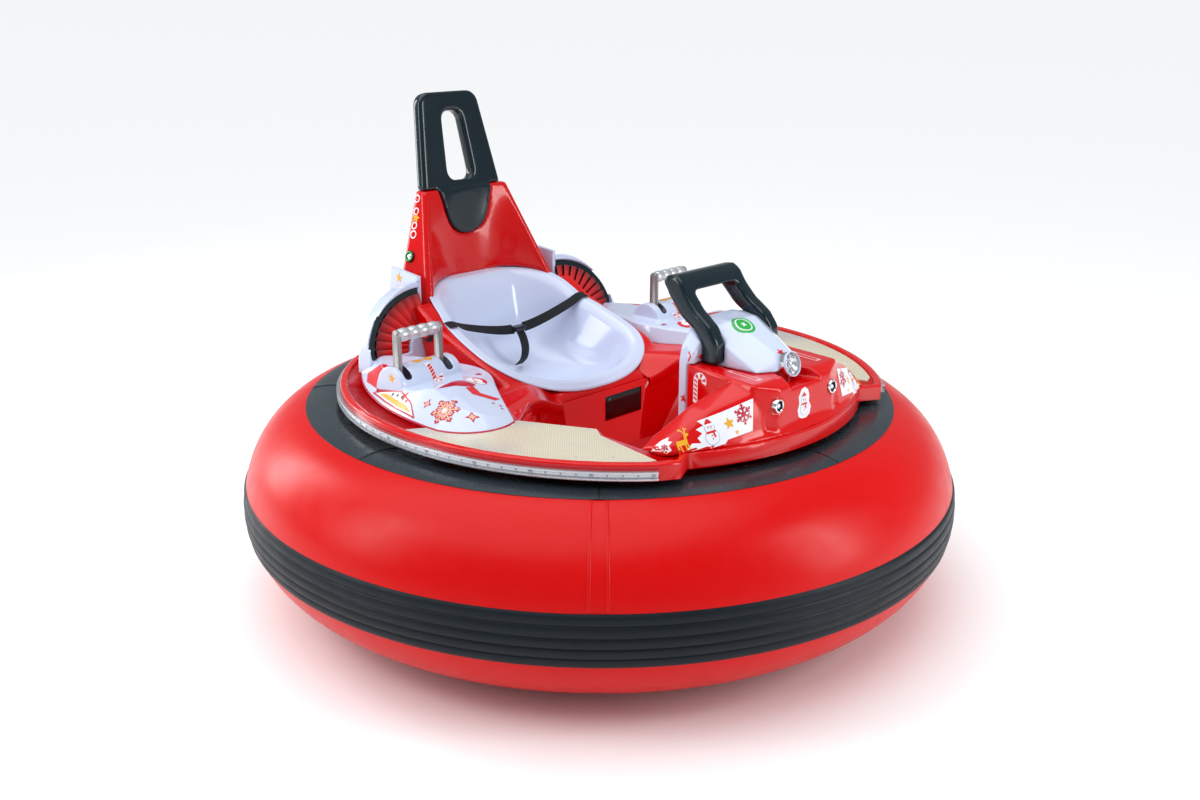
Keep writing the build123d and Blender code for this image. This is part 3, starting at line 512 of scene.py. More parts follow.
def top_panel():
    """Dark sheet on the tube, in eight lengths whose welded joints stand up a little."""
    low, high = radians(75.5), radians(120)
    around, across = 480, 18
    joints = round_angles(PANEL_SEAMS, PANEL_SEAM_ANGLE)
    rows = []
    for turn in round_angles(around):
        near = min(away(turn, joint) for joint in joints)
        weld = 0.9 / (1 + (near / radians(0.5)) ** 4)
        lift = (1.0 + weld + 0.15 * sin(turn * PANEL_SEAMS * 2)) * MM
        row = [tube_point(angle, turn, lift) for angle in between(low, high, across)]
        rows.append([tube_point(low, turn), *row, tube_point(high, turn)])
    skin("top_panel", rows, "panel", "panel_dark", closed_v=True, replaces=("tube_top_panel",), angle=60)


def panel_seams():
    """Thin dark overlaps across the sheet on top of the tube, beside its joints."""
    turns = round_angles(PANEL_SEAMS, PANEL_SEAM_ANGLE + radians(0.55))
    outline = ((-1, 1.1), (-0.6, 2.6), (0.6, 2.6), (1, 1.1))
    span = (radians(76), radians(119))
    welds("panel_seams", turns, radians(0.10), span, 16, outline, "film_black", "panel_dark")


# ---- seat ----
# bucket sections: x, half width, height of the floor's middle, height where the side walls start
BUCKET = [
    (-462, 120, 655, 668),
    (-400, 178, 545, 590),
    (-320, 205, 462, 520),
    (-200, 222, 432, 480),
    (-80, 200, 436, 470),
    (-14, 110, 452, 466),
    (8, 60, 458, 462),
]


def smooth_through(table, x, column):
    """Value of a column at x, on a smooth line through the table's rows."""
    xs = [row[0] for row in table]
    x = min(max(x, xs[0]), xs[-1])
    k = max(i for i in range(len(xs) - 1) if xs[i] <= x)
    p = [table[min(max(k + i, 0), len(xs) - 1)][column] for i in (-1, 0, 1, 2)]
    q = [xs[min(max(k + i, 0), len(xs) - 1)] for i in (-1, 0, 1, 2)]
    span = q[2] - q[1]
    t = (x - q[1]) / span
    m1 = (p[2] - p[0]) / (q[2] - q[0]) * span
    m2 = (p[3] - p[1]) / (q[3] - q[1]) * span
    h00, h10 = 2 * t**3 - 3 * t**2 + 1, t**3 - 2 * t**2 + t
    h01, h11 = -2 * t**3 + 3 * t**2, t**3 - t**2
    return h00 * p[1] + h10 * m1 + h01 * p[2] + h11 * m2


SEAT_LINE = joined(
    arc((-490, 676), (-385, 655), (-300, 608), 24),
    [(-300, 608), (-205, 575.5), (-110, 543)],
    arc((-110, 543), (-45, 512), (20, 462), 16),
)


def seat_rim_z(x):
    for (x0, z0), (x1, z1) in zip(SEAT_LINE, SEAT_LINE[1:]):
        if x0 <= x <= x1:
            return z0 + (z1 - z0) * (x - x0) / (x1 - x0)
    return SEAT_LINE[0][1] if x < SEAT_LINE[0][0] else SEAT_LINE[-1][1]


def seat_outline():
    """Seat's rim in plan, in mm: a straight back, full sides and a rounded front."""
    back_x, back_half, widest_x, half_w, reach = -470, 120, -153, 249, 164
    half = joined(
        [(back_x, back_half * i / 12) for i in range(12)],
        arc((back_x, back_half), (-405, 195), (-330, 224), 24),
        arc((-330, 224), (-240, 243), (widest_x, half_w), 16),
        [(widest_x + reach * sin(t) ** 0.8, half_w * cos(t) ** 0.8) for t in between(0, pi / 2, 40)],
    )
    return half + [(x, -y) for x, y in reversed(half[1:-1])]


def ease(low, high, value):
    t = min(1.0, max(0.0, (value - low) / (high - low)))
    return t * t * (3 - 2 * t)


SEAT_CENTRE = Vector((-205.0, 0.0))
# shares of the way from the centre to the rim, and the rolled edge as (share, rise in mm)
SEAT_STEPS = (0.02, 0.15, 0.28, 0.4, 0.5, 0.58, 0.65, 0.71, 0.76, 0.8, 0.84, 0.87, 0.9, 0.925, 0.945, 0.96)
SEAT_EDGE = ((0.968, 0.0), (0.985, 1.0), (1.0, 0.0), (1.0, -3.0), (0.993, -5.0), (0.975, -6.0))


def seat_row(x, y):
    """Points from beside the seat's centre to its rim at x, y and round the edge."""
    out = Vector((x, y)) - SEAT_CENTRE
    row = []
    for t in SEAT_STEPS:
        at = SEAT_CENTRE + out * t
        half, floor_z, wall_z = (smooth_through(BUCKET, at.x, column) for column in (1, 2, 3))
        base = floor_z + (wall_z - floor_z) * min(1.3, abs(at.y) / half) ** 2
        climb = ease(0.60, 0.90, t) ** 1.6
        row.append(Vector((at.x, at.y, base + (seat_rim_z(at.x) - base) * climb)) * MM)
    for t, rise in SEAT_EDGE:
        at = SEAT_CENTRE + out * t
        row.append(Vector((at.x, at.y, seat_rim_z(at.x) + rise)) * MM)
    return row


def seat_skin():
    """Bucket of the seat, smooth from rim to rim, with a rolled edge."""
    rows = [seat_row(x, y) for x, y in seat_outline()]
    middle = sum((row[0] for row in rows), Vector()) / len(rows)
    rows = [[middle] + row for row in rows]
    item = skin("seat_skin", rows, "white", "shell_white", closed_v=True, replaces=("seat_shell",), angle=80)
    bowl = item.vertex_groups.new(name="bowl")
    across, soft = len(SEAT_STEPS) + len(SEAT_EDGE), len(SEAT_STEPS) - 4
    bowl.add([k for k in range(len(item.data.vertices)) if (k - 1) % across < soft], 1.0, "REPLACE")
    modified(item, rounding(12, vertex_group="bowl"), thickened(3.0, -1.0))
    smooth(item.data, 80)


# ---- mouldings and frame ----
def mouldings():
    """Gel-coated and black mouldings whose edges are rounded."""
    pedestal()
    moulded("tower_moulding", "tower", "red", "body_red", 4.0, 8, 0.3)
    moulded("nose_moulding", "nose_shell", "red", "body_red", 3.0, 18, 0.35)
    moulded("cowl_moulding", "nose_cowl", "white", "shell_white", 2.5, 40, 0.35)
    moulded("loop_moulding", "headrest_loop", "black", "handle_black", 2.5, 36, 0.35)
    moulded("handle_moulding", "front_handle", "black", "handle_black", 2.5, 60, 0.4)
    for side, sign in SIDES:
        wing(side, sign)
        console(side)
        moulded(f"{side}_pod_moulding", f"{side}_pod", "white", "shell_white", 2.5, 5, 0.3)
        tidied(f"{side}_fin_plate", f"{side}_rear_fin", "white", "shell_white", width=1.5)
    lowered(tidied("deck_plate", "body_deck", "red", "body_red"))
    lowered(tidied("footwell_moulding", "footwell_tub", "red", "body_red", angle=50))


# wing between seat and console: its edge at the seat and its edge at console and footwell, as (x, y)
WING_INNER = ((-66, 256), (-50, 215), (-36, 180), (-5, 146), (22, 146))
WING_OUTER = ((-44, 300), (10, 334), (86, 376), (139, 393), (101, 341), (63, 288), (45, 225), (24, 152))
WING_TOP_Z, WING_LOW_Z = 505.8, 459.0  # beside the console, and at the seat's front
WING_SLOPE = 0.5
WING_FOOT_X, WING_FOOT_Y, WING_FOOT_LEAN = 22, 150, 0.3  # foot of the slope, which leans forwards past y
# forwards and down over the footwell's edge
WING_LIP = ((1.0, -1.0), (2.5, -6.0), (2.5, -20.0), (-3.0, -36.0))


def wing_edge(y):
    """Height of the wing's edge over the footwell."""
    return WING_LOW_Z + (WING_TOP_Z - WING_LOW_Z) * ease(140, 275, y)


def wing_height(x, y):
    """Height of a slope that rises backwards from the footwell's edge."""
    foot = WING_FOOT_X + WING_FOOT_LEAN * max(0.0, y - WING_FOOT_Y)
    return wing_edge(y) + WING_SLOPE * max(0.0, foot - x)


def along(line, share):
    """Point at a share of a line's corners."""
    at = share * (len(line) - 1)
    k = min(int(at), len(line) - 2)
    return Vector(line[k]).lerp(Vector(line[k + 1]), at - k)


def wing(side_name, side):
    """Skirt that falls from the seat's shoulder to the footwell's edge."""
    length, across = 80, 14
    rows = []
    for share in between(0, 1, length):
        inner, outer = along(WING_INNER, share), along(WING_OUTER, share)
        spots = [inner.lerp(outer, t) for t in between(0, 1, across)]
        row = [Vector((at.x, side * at.y, level(WING_TOP_Z, wing_height(at.x, at.y)))) for at in spots]
        end = row[-1]
        row += [Vector((end.x + forward, end.y, end.z + drop)) for forward, drop in WING_LIP]
        rows.append([at * MM for at in row])
    skin(f"{side_name}_wing", rows, "red", "body_red", angle=75)


def level(a, b, blend=20.0):
    """The lower of two heights, with the crease between them rounded."""
    share = min(1.0, max(0.0, 0.5 + 0.5 * (b - a) / blend))
    return b + (a - b) * share - blend * share * (1 - share)


LOWERED_X, LOWERED_Y, LOWERED_Z, UNDER_WING = (-12, 66), (140, 292), 470, 2


def lowered(item):
    """Takes the deck's and footwell's corner beside the seat's front down with the wing."""
    for vert in item.data.vertices:
        x, y, z = vert.co / MM
        if LOWERED_X[0] < x < LOWERED_X[1] and LOWERED_Y[0] < abs(y) < LOWERED_Y[1] and z > LOWERED_Z:
            vert.co.z = (z + wing_edge(abs(y)) - WING_TOP_Z - UNDER_WING) * MM


# where the pedestal's shoulder is smoothed: ramps over x, -x, y and z
SHOULDER = ((-75, -35), (-100, -70), (118, 150), (455, 480))
SHOULDER_X, SHOULDER_Y, WING_GAP = -40, 135, 3  # inside these it also stays under the wing


def pedestal():
    """Moulding under the seat, whose shoulders beside the seat's front flow into its sides."""
    item = cad_piece("pedestal_moulding", "seat_pedestal", "red", "body_red")
    modified(item, voxels(4.0), rounding(14))
    shoulder = item.vertex_groups.new(name="shoulder")
    for vert in item.data.vertices:
        x, y, z = vert.co / MM
        if abs(y) > SHOULDER_Y and x > SHOULDER_X:
            vert.co.z = min(z, wing_height(x, abs(y)) - WING_GAP) * MM
        share = prod(ease(*span, value) for span, value in zip(SHOULDER, (x, -x, abs(y), z)))
        if share > 0:
            shoulder.add([vert.index], share, "REPLACE")
    modified(item, rounding(160, vertex_group="shoulder"), kept_faces(0.35))
    smooth(item.data, 70)


FLANK_FOOT, FLANK_RISE = 509.0, 0.84
RIDGE_Z, RIDGE_X, RIDGE_FALL = 566.0, 4.0, 0.24  # crest between the flank and the top
FLANK_EDGE = joined(
    arc((-392, 414), (-170, 532), (70, 563), 30),
    arc((70, 563), (150, 500), (146, 410), 12),
)
INNER_EDGE = arc((146, 410), (40, 342), (-36, 292), 12)
LEVER_X, HUMP_HALF, HUMP_Y = -155.0, 49.5, (334, 508)
TOP_START, TOP_RISE, TOP_SPAN = (-105, -10), 0.26, 110  # how the top rises from its inner edge


def nearest(points, x, y):
    """Distance in the plan to a run of straight lines."""
    best = 1e9
    for (ax, ay), (bx, by) in zip(points, points[1:]):
        dx, dy = bx - ax, by - ay
        t = min(1.0, max(0.0, ((x - ax) * dx + (y - ay) * dy) / (dx * dx + dy * dy)))
        best = min(best, hypot(ax + t * dx - x, ay + t * dy - y))
    return best


def console_height(x, y, z, on_top):
    """Height in mm of the console's skin: the top rises outward to a crest, then the flank falls."""
    if on_top:
        z += ease(*TOP_START, x) * TOP_RISE * min(nearest(INNER_EDGE, x, y), TOP_SPAN)
    crest = RIDGE_Z - max(0.0, x - RIDGE_X) * RIDGE_FALL
    return min(z, crest, FLANK_FOOT + FLANK_RISE * nearest(FLANK_EDGE, x, y))


def console(side):
    """Console whose flank falls away to its outer edge, round the half barrel of the lever."""
    item = cad_piece(f"{side}_console_moulding", f"{side}_console", "white", "shell_white")
    modified(item, voxels(2.5))
    moved = []
    for vert in item.data.vertices:
        x, y, z = vert.co / MM
        on_hump = abs(x - LEVER_X) < HUMP_HALF and HUMP_Y[0] < abs(y) < HUMP_Y[1]
        if z > FLANK_FOOT and not on_hump:
            moved.append((vert, console_height(x, abs(y), z, vert.normal.z > 0.6)))
    for vert, z in moved:
        vert.co.z = z * MM
    modified(item, rounding(8), kept_faces(0.3))
    smooth(item.data, 70)


def metalwork():
    """Levers, step plates and everything under the car."""
    for side, _ in SIDES:
        lever = f"{side}_lever"
        tidied(f"{lever}_bars", f"{lever}_arms", "steel", "lever_steel", lever, width=0.8)
        tidied(f"{lever}_handle", f"{lever}_grip", "silver", "grip_cast", lever)
        tidied(f"{side}_step_plate", f"{side}_treadplate", "tread", "tread_aluminium", angle=20)
        wheel = f"{side}_drive_wheel"
        tidied(f"{side}_gearbox", f"{side}_drive_unit", "drive", "drive_grey", width=2.0)
        tidied(f"{side}_wheel_centre", f"{side}_drive_rim", "rim", "rim_cast", wheel, width=1.0)
        tidied(f"{side}_wheel_tyre", f"{side}_drive_tyre", "tyre", "tyre_black", wheel)
    for end in ("front", "rear"):
        caster = f"{end}_caster"
        tidied(f"{caster}_yoke", f"{caster}_fork", "zinc", "fork_zinc", caster, width=0.8)
        tidied(f"{caster}_tread", f"{caster}_wheel", "caster", "caster_grey", f"{caster}_roller")
    tidied("ladder_frame", "chassis_frame", "frame", "frame_steel", width=1.5)
    tidied("tube_ring_hoop", "tube_hoop", "frame", "frame_steel")
    tidied("posts", "body_posts", "frame", "frame_steel", width=1.0)
    tidied("battery_case", "battery_pack", "battery", "battery_grey", width=6.0)


# ---- fans ----
FAN_INNER_Y, FAN_FOOT_Z, FAN_W, FAN_H = 0.232, 0.540, 0.180, 0.150
FAN_FACE_X = -0.348
FAN_LEAN = radians(16.8)
HUB_SHARE = 0.36
FAN_BACK = -13.9 * MM


def fan_point(y, z, depth):
    """Point on the left fan: y across, z up the leaning face, depth in front of the face."""
    normal = Vector((cos(FAN_LEAN), 0, sin(FAN_LEAN)))
    upward = Vector((-sin(FAN_LEAN), 0, cos(FAN_LEAN)))
    return Vector((FAN_FACE_X, y, FAN_FOOT_Z)) + upward * (z - FAN_FOOT_Z) + normal * depth


def fan_quarter(share, angle, depth):
    """Point on the left fan at a share of its radius; angle up from its outer corner."""
    y, z = FAN_W * share * cos(angle), FAN_H * share * sin(angle)
    return fan_point(FAN_INNER_Y + y, FAN_FOOT_Z + z, depth)


FAN_BLADES, BLADE_GAP, BLADE_W = 9, 0.05, 0.88  # gap and width as shares of a blade's pitch


def fan(side_name, side):
    """Black dish with red shutters that spread from the hub, with painted shade darkening them outwards."""
    bm = bmesh.new()

    def patch(point_at, inner, outer, steps, slot):
        rows = []
        for share in between(inner, outer, steps):
            points = [point_at(share, across) for across in between(0, 1, steps)]
            rows.append([bm.verts.new((p.x, p.y * side, p.z)) for p in points])
        bridge(bm, rows, slot=slot)

    def dish(share, across):
        return fan_quarter(share, across * pi / 2, FAN_BACK + 4.5 * MM)

    def blade(share, across):
        angle = (number + BLADE_GAP + BLADE_W * across) * (pi / 2) / FAN_BLADES
        lift = (4.5 * across + 2.2 * sin(pi * across)) * MM
        return fan_quarter(share, angle, FAN_BACK + 5.0 * MM + lift)

    patch(dish, HUB_SHARE, 0.995, 24, 0)
    for number in range(FAN_BLADES):
        patch(blade, HUB_SHARE + 0.02, 0.90, 6, 1)
    name = f"{side_name}_fan"
    item = piece(name, mesh_of(name, bm), ("black", f"{side_name}_blade"), "fan_black", angle=60)
    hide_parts(f"{side_name}_fan_panel")
    modified(item, thickened(1.0, 0.0))
    smooth(item.data, 60)


def blade_material(side_name, side):
    """Red with painted shade that darkens it towards the fan's rim, inside the recess."""
    made = Surface(f"{side_name}_blade", (0.74, 0.001, 0.003), 0.50)
    tree, (_, y, z) = made.tree, made.axes()

    def squared(distance, size):
        return calc(tree, "POWER", calc(tree, "DIVIDE", distance, size), 2.0)

    across = calc(tree, "SUBTRACT", calc(tree, "MULTIPLY", y, side), FAN_INNER_Y)
    upward = calc(tree, "SUBTRACT", z, FAN_FOOT_Z)
    squares = calc(tree, "ADD", squared(across, FAN_W), squared(upward, FAN_H * cos(FAN_LEAN)))
    shade_towards_rim = ramp(tree, calc(tree, "SQRT", squares), 0.70, 0.97)
    # painted shade: the blades darken to near black towards the rim, where the recess shades them
    made.colour = mixed(tree, shade_towards_rim, made.colour, (0.035, 0.003, 0.005))
    return made.done()


for side_name, side in SIDES:
    MATERIAL[f"{side_name}_blade"] = blade_material(side_name, side)


# ---- belt ----
STRAP_W, STRAP_T = 0.025, 0.0018


def through(points, count):
    """Smooth run of vectors through the points."""
    out = []
    for k in range(len(points) - 1):
        a, b = points[max(k - 1, 0)], points[k]
        c, d = points[k + 1], points[min(k + 2, len(points) - 1)]
        for t in (i / count for i in range(count)):
            bend, twist = 2 * a - 5 * b + 4 * c - d, 3 * b - a - 3 * c + d
            out.append(0.5 * (2 * b + (c - a) * t + bend * t**2 + twist * t**3))
    out.append(points[-1])
    return out


def ribbon(name, stations, replaces=()):
    """Flat strap through stations of (centre in mm, width direction), with thicker woven edges."""
    centres = through([Vector(centre) * MM for centre, _ in stations], 10)
    widths = through([Vector(width).normalized() for _, width in stations], 10)
    outline = [(-0.5, 0.4), (-0.46, 0.55), (-0.3, 0.5), (0.3, 0.5), (0.46, 0.55), (0.5, 0.4)]
    outline += [(u, -h) for u, h in reversed(outline)]
    rows = []
    for k, centre in enumerate(centres):
        ahead = centres[min(k + 1, len(centres) - 1)] - centres[max(k - 1, 0)]
        wide = widths[k].normalized()
        thick = ahead.cross(wide).normalized()
        rows.append([centre + wide * (u * STRAP_W) + thick * (h * STRAP_T) for u, h in outline])
    skin(name, rows, "webbing", "webbing", True, capped=True, replaces=replaces, angle=50)


# stations of the left lap strap and the strap between the legs: (centre in mm, width direction)
LAP_STRAP = (
    ((-284, 236, 606.5), (0.946, 0, -0.324)),
    ((-284, 214, 606.5), (0.946, 0, -0.324)),
    ((-286, 180, 592), (0.86, 0.1, -0.5)),
    ((-288, 110, 572), (0.75, 0, -0.66)),
    ((-290, 55, 560), (0.62, 0, -0.78)),
    ((-290, 18, 556), (0.55, 0, -0.84)),
)
LEG_STRAP = (
    ((-284, 0, 551), (0, 1, 0)),
    ((-272, 0, 534), (0, 1, 0.05)),
    ((-264, 0, 508), (0, 1, 0.05)),
    ((-270, 0, 480), (0, 1, 0)),
    ((-290, 0, 460), (0, 1, 0)),
)


def belt():
    """Lap straps from the seat's rim, a strap between the legs, and the buckle."""
    for side_name, side in SIDES:
        mirrored = [[(x, y * side, z) for x, y, z in station] for station in LAP_STRAP]
        ribbon(f"{side_name}_lap_belt", mirrored)
    ribbon("leg_strap", LEG_STRAP, ("belt_webbing",))
    tidied("buckle", "belt_buckle", "buckle", "buckle_black", width=4.0)


# ---- light strip ----
DISC_X, DISC_A, DISC_B = 34.0, 646.0, 626.0
STRIP_END_X = 536.0


def strip_path():
    """Outline of the disc from one end of the light strip round the back to the other, in mm."""

    def at(x):
        return x, DISC_B * sqrt(1 - ((x - DISC_X) / DISC_A) ** 2)

    shoulder = DISC_X - DISC_A * 0.05
    front = arc(at(STRIP_END_X), at(STRIP_END_X * 0.62), at(shoulder), 60)
    half = joined(front, arc(at(shoulder), at(DISC_X - DISC_A * 0.72), (DISC_X - DISC_A, 0), 60))
    return half + [(x, -y) for x, y in reversed(half[:-1])]


def framed(line, inside):
    """Points of a line in plan, in mm, each with the direction away from a point inside."""
    points, frames = [Vector(p) for p in line], []
    for k, p in enumerate(points):
        ahead = (points[min(k + 1, len(points) - 1)] - points[max(k - 1, 0)]).normalized()
        out = Vector((-ahead.y, ahead.x))
        frames.append((p, out if out.dot(p - Vector(inside)) > 0 else -out))
    return frames


def along_line(name, frames, outline, material, slot, side=1, capped=True, **settings):
    """Bar along framed points, with an outline of (out, z) in mm."""
    rows = []
    for p, out in frames:
        rows.append([Vector((p.x + out.x * u, (p.y + out.y * u) * side, z)) * MM for u, z in outline])
    skin(name, rows, material, slot, True, capped=capped, **settings)


CHIP_FIRST, CHIP_PITCH, PAD_EVERY = 12.0, 30.0, 4
CHIP_HALF, PAD_HALF = (1.6, 1.6), (4.0, 2.2)  # half width and half height
CHIP_DEPTH, CHIP_OUT, CHIP_Z = 1.6, 3.9, 490.5


def light_strip():
    """Aluminium channel with a tape and its lamp chips behind the opening."""
    frames = framed(strip_path(), (DISC_X, 0))
    channel = [(0, 481), (8.6, 481), (9, 482), (9, 485), (7.2, 486), (2, 486), (2, 495), (7.2, 495)]
    channel += [(9, 496), (9, 499), (8.6, 500), (0, 500)]
    along_line("strip_channel", frames, channel, "strip", "strip_clear", replaces=("light_strip",))
    tape = [(2.2, 486.6), (3.0, 486.6), (3.0, 494.4), (2.2, 494.4)]
    along_line("strip_tape", frames, tape, "film_white", "strip_clear")
    strip_chips(frames)


def strip_chips(frames):
    """Lamp chips at an even pitch along the tape, every fourth of them a wider solder pad."""
    bm = bmesh.new()
    travelled, count = 0.0, 0
    for (p, out), (q, _) in zip(frames, frames[1:]):
        step = (q - p).length
        while CHIP_FIRST + count * CHIP_PITCH < travelled + step:
            at = p + (q - p) * ((CHIP_FIRST + count * CHIP_PITCH - travelled) / step) + out * CHIP_OUT
            half, tall = CHIP_HALF if count % PAD_EVERY else PAD_HALF
            place = Matrix.Translation(Vector((at.x, at.y, CHIP_Z)) * MM)
            turn = Matrix.Rotation(atan2(out.y, out.x), 4, "Z")
            size = Matrix.Diagonal((CHIP_DEPTH * MM, 2 * half * MM, 2 * tall * MM, 1.0))
            bmesh.ops.create_cube(bm, size=1.0, matrix=place @ turn @ size)
            count += 1
        travelled += step
    bmesh.ops.bevel(bm, geom=bm.edges[:], offset=0.3 * MM, segments=1, affect="EDGES")
    piece("strip_chips", mesh_of("strip_chips", bm), "chip", "strip_clear")


# ---- lamps ----
def lathe(name, profile, place, material, slot, turns=40, **settings):
    """Turned piece: profile of (radius, height) in mm about the local Z axis of place."""
    rows = []
    for a in round_angles(turns):
        rows.append([place @ (Vector((r * cos(a), r * sin(a), h)) * MM) for r, h in profile])
    return skin(name, rows, material, slot, closed_v=True, **settings)


def looking(at, direction):
    """Place whose Z axis looks along a direction; at in mm."""
    turn = Vector(direction).to_track_quat("Z", "Y").to_matrix().to_4x4()
    return Matrix.Translation(Vector(at) * MM) @ turn


HEADLAMP_TILT = radians(72)  # from straight up


def head_light():
    """Clear lens over a faceted bright bowl, in a thin rim."""
    place = looking((548, 0, 633), (sin(HEADLAMP_TILT), 0, cos(HEADLAMP_TILT)))
    rim = [(24, 8), (26.6, 8), (27, 9), (27, 11.4), (26, 12.4), (24.6, 12.4), (24, 11), (24, 8)]
    lathe("headlamp_rim", rim, place, "white", "shell_white")
    bowl = [(27, -4), (27, 8), (24.5, 9), (20, 5), (13, 1.5), (6, 0), (6, 3), (4, 5), (0.01, 6)]
    lathe("headlamp_bowl", bowl, place, "chrome", "lamp_chrome", turns=18, replaces=("headlamp",), angle=12)
    lens = [(0.01, 12.2), (6, 12.1), (8, 11.5), (10, 11.9), (14, 11.5), (16, 10.9), (18, 11.2), (22, 10.2)]
    lathe("headlamp_lens", lens + [(24, 9.4)], place, "clear", "lamp_clear", angle=60)


def eye_lights():
    """Two round lamps with a chrome ring and a dark ring inside."""
    ring = [(10.2, 2), (10.2, 11), (11.5, 11.8), (13.6, 11.4), (15, 9.5), (15, 0), (10.2, 0), (10.2, 2)]
    well = [(0.01, 3), (9, 3), (10.2, 5), (10.2, 9)]
    lens = [(0.01, 10.6), (3, 10.2), (5, 9.2), (6.6, 7), (7, 4)]
    for side_name, side in SIDES:
        place = looking((588, 95 * side, 574), (1, 0, 0.05))
        item = lathe(f"{side_name}_eye_ring", ring, place, "chrome", "lamp_chrome")
        if side > 0:
            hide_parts("eye_lamps")
        lathe(f"{side_name}_eye_well", well, place, "film_black", "lamp_chrome")
        lathe(f"{side_name}_eye_lens", lens, place, "chrome", "lamp_chrome", turns=24)


# ---- prints ----
FILM_T = 0.25 * MM
PRINT_START, PRINT_REACH = 0.06, 0.16  # a print looks for the surface from before its origin, and how deep


class Print:
    """Printed film cut from flat outlines and laid on the surface of a piece.

    Outlines are in mm in a frame with its origin on the surface, u to the reader's right and v up.
    Places are those of the car's right side; side is -1 there and 1 for the mirror image on the left."""

    def __init__(self, name, on, origin, u_axis, v_axis, side=-1, slot="shell_white", step=6.0):
        self.name, self.slot, self.step, self.side = name, slot, step, side
        self.origin = self.place(origin)
        self.u = self.place(u_axis).normalized()
        self.n = (self.u.cross(self.place(v_axis)) * -side).normalized()
        self.v = (self.n.cross(self.u) * -side).normalized()
        under = bpy.data.objects[on].data
        faces = [face.vertices for face in under.polygons]
        self.tree = BVHTree.FromPolygons([vert.co for vert in under.vertices], faces)
        self.bm = bmesh.new()
        self.colours = []

    def place(self, point):
        x, y, z = point
        return Vector((x, -y * self.side, z)) * MM

    def flat(self, *points):
        """Points of the car in mm as (u, v) of the film."""
        offsets = [(self.place(point) - self.origin) / MM for point in points]
        return [(offset.dot(self.u), offset.dot(self.v)) for offset in offsets]

    def lay(self, u, v, level):
        """Point on the surface under (u, v), lifted to a level of the film."""
        start = self.origin + self.u * (u * MM) + self.v * (v * MM) + self.n * PRINT_START
        point, normal, _, _ = self.tree.ray_cast(start, -self.n, PRINT_REACH)
        if point is None:
            return None
        if normal.dot(self.n) < 0:
            normal = -normal
        return point + (normal + self.n * 0.5) * (FILM_T * (1 + level) / 1.5)

    def cut(self, level, colour, *outlines):
        """Adds filled outlines, each a closed list of points; higher levels lie on lower ones."""
        if colour not in self.colours:
            self.colours.append(colour)
        for outline in outlines:
            self.fill(outline, level, self.colours.index(colour))

    def spread(self, outline):
        """Points at about a step's distance round an outline, and a grid of points over its box."""
        ring = []
        for (x0, y0), (x1, y1) in zip(outline, outline[1:] + outline[:1]):
            parts = max(1, ceil(hypot(x1 - x0, y1 - y0) / self.step))
            ring += [Vector((x0 + (x1 - x0) * i / parts, y0 + (y1 - y0) * i / parts)) for i in range(parts)]
        low = Vector((min(p.x for p in ring), min(p.y for p in ring)))
        high = Vector((max(p.x for p in ring), max(p.y for p in ring)))
        columns, lines = (range(1, int(size / self.step) + 1) for size in high - low)
        return ring, [low + Vector((i, j)) * self.step for i in columns for j in lines]

    def fill(self, outline, level, slot):
        ring, inner = self.spread(outline)
        points, _, faces, *_ = delaunay_2d_cdt(ring + inner, [], [list(range(len(ring)))], 1, 1e-4)
        laid = [self.lay(p.x, p.y, level) for p in points]
        verts = [None if p is None else self.bm.verts.new(p) for p in laid]
        for corners in faces:
            if all(verts[k] is not None for k in corners):
                face = self.bm.faces.new([verts[k] for k in corners])
                face.normal_update()
                if face.normal.dot(self.n) < 0:
                    face.normal_flip()
                face.material_index = slot

    def done(self):
        loose = [v for v in self.bm.verts if not v.link_faces]
        bmesh.ops.delete(self.bm, geom=loose, context="VERTS")
        inks = [f"film_{colour}" for colour in self.colours]
        return piece(self.name, mesh_of(self.name, self.bm), inks, self.slot, angle=60)


def printed(name, on, origin, u_axis, v_axis, side, *cuts, slot="shell_white"):
    """Print whose cuts are each a level, a colour and outlines."""
    sheet = Print(name, on, origin, u_axis, v_axis, side, slot)
    for level, colour, *outlines in cuts:
        sheet.cut(level, colour, *outlines)
    sheet.done()


def shifted(points, du, dv, turn=0.0, scale=1.0):
    c, s = cos(radians(turn)) * scale, sin(radians(turn)) * scale
    return [(du + c * x - s * y, dv + s * x + c * y) for x, y in points]


def round_spot(u, v, r, count=18):
    return [(u + r * cos(a), v + r * sin(a)) for a in round_angles(count)]


def star(u, v, r, points=5, waist=0.45, turn=90.0):
    out = []
    for i in range(2 * points):
        reach = r if i % 2 == 0 else r * waist
        a = radians(turn) + pi * i / points
        out.append((u + reach * cos(a), v + reach * sin(a)))
    return out


def stroke(u0, v0, u1, v1, w):
    """Straight bar of width w."""
    length = hypot(u1 - u0, v1 - v0)
    nx, ny = -(v1 - v0) / length * w / 2, (u1 - u0) / length * w / 2
    return [(u0 + nx, v0 + ny), (u0 - nx, v0 - ny), (u1 - nx, v1 - ny), (u1 + nx, v1 + ny)]


def hook(u, v, r, w, start, end, count=14):
    """Part of a ring of middle radius r and width w, angles in degrees."""
    angles = [radians(angle) for angle in between(start, end, count)]
    outer = [(u + (r + w / 2) * cos(a), v + (r + w / 2) * sin(a)) for a in angles]
    inner = [(u + (r - w / 2) * cos(a), v + (r - w / 2) * sin(a)) for a in reversed(angles)]
    return outer + inner


def six_arms(u, v, r, w, twig_w, stem, tip, twig):
    """Arms of a flake of radius r: a stem of width w, a diamond at its end and a pair of twigs.

    tip is the diamond's start, widest place and half width, twig its foot, end and the end's offset, as
    shares of r; so is stem."""
    start, widest, half = (share * r for share in tip)
    foot, end, out = (share * r for share in twig)
    arm = [stroke(0, 0, stem * r, 0, w), [(start, 0), (widest, half), (r, 0), (widest, -half)]]
    arm += [stroke(foot, 0, end, side * out, twig_w) for side in (-1, 1)]
    return [shifted(shape, u, v, 60 * k + 30) for k in range(6) for shape in arm]


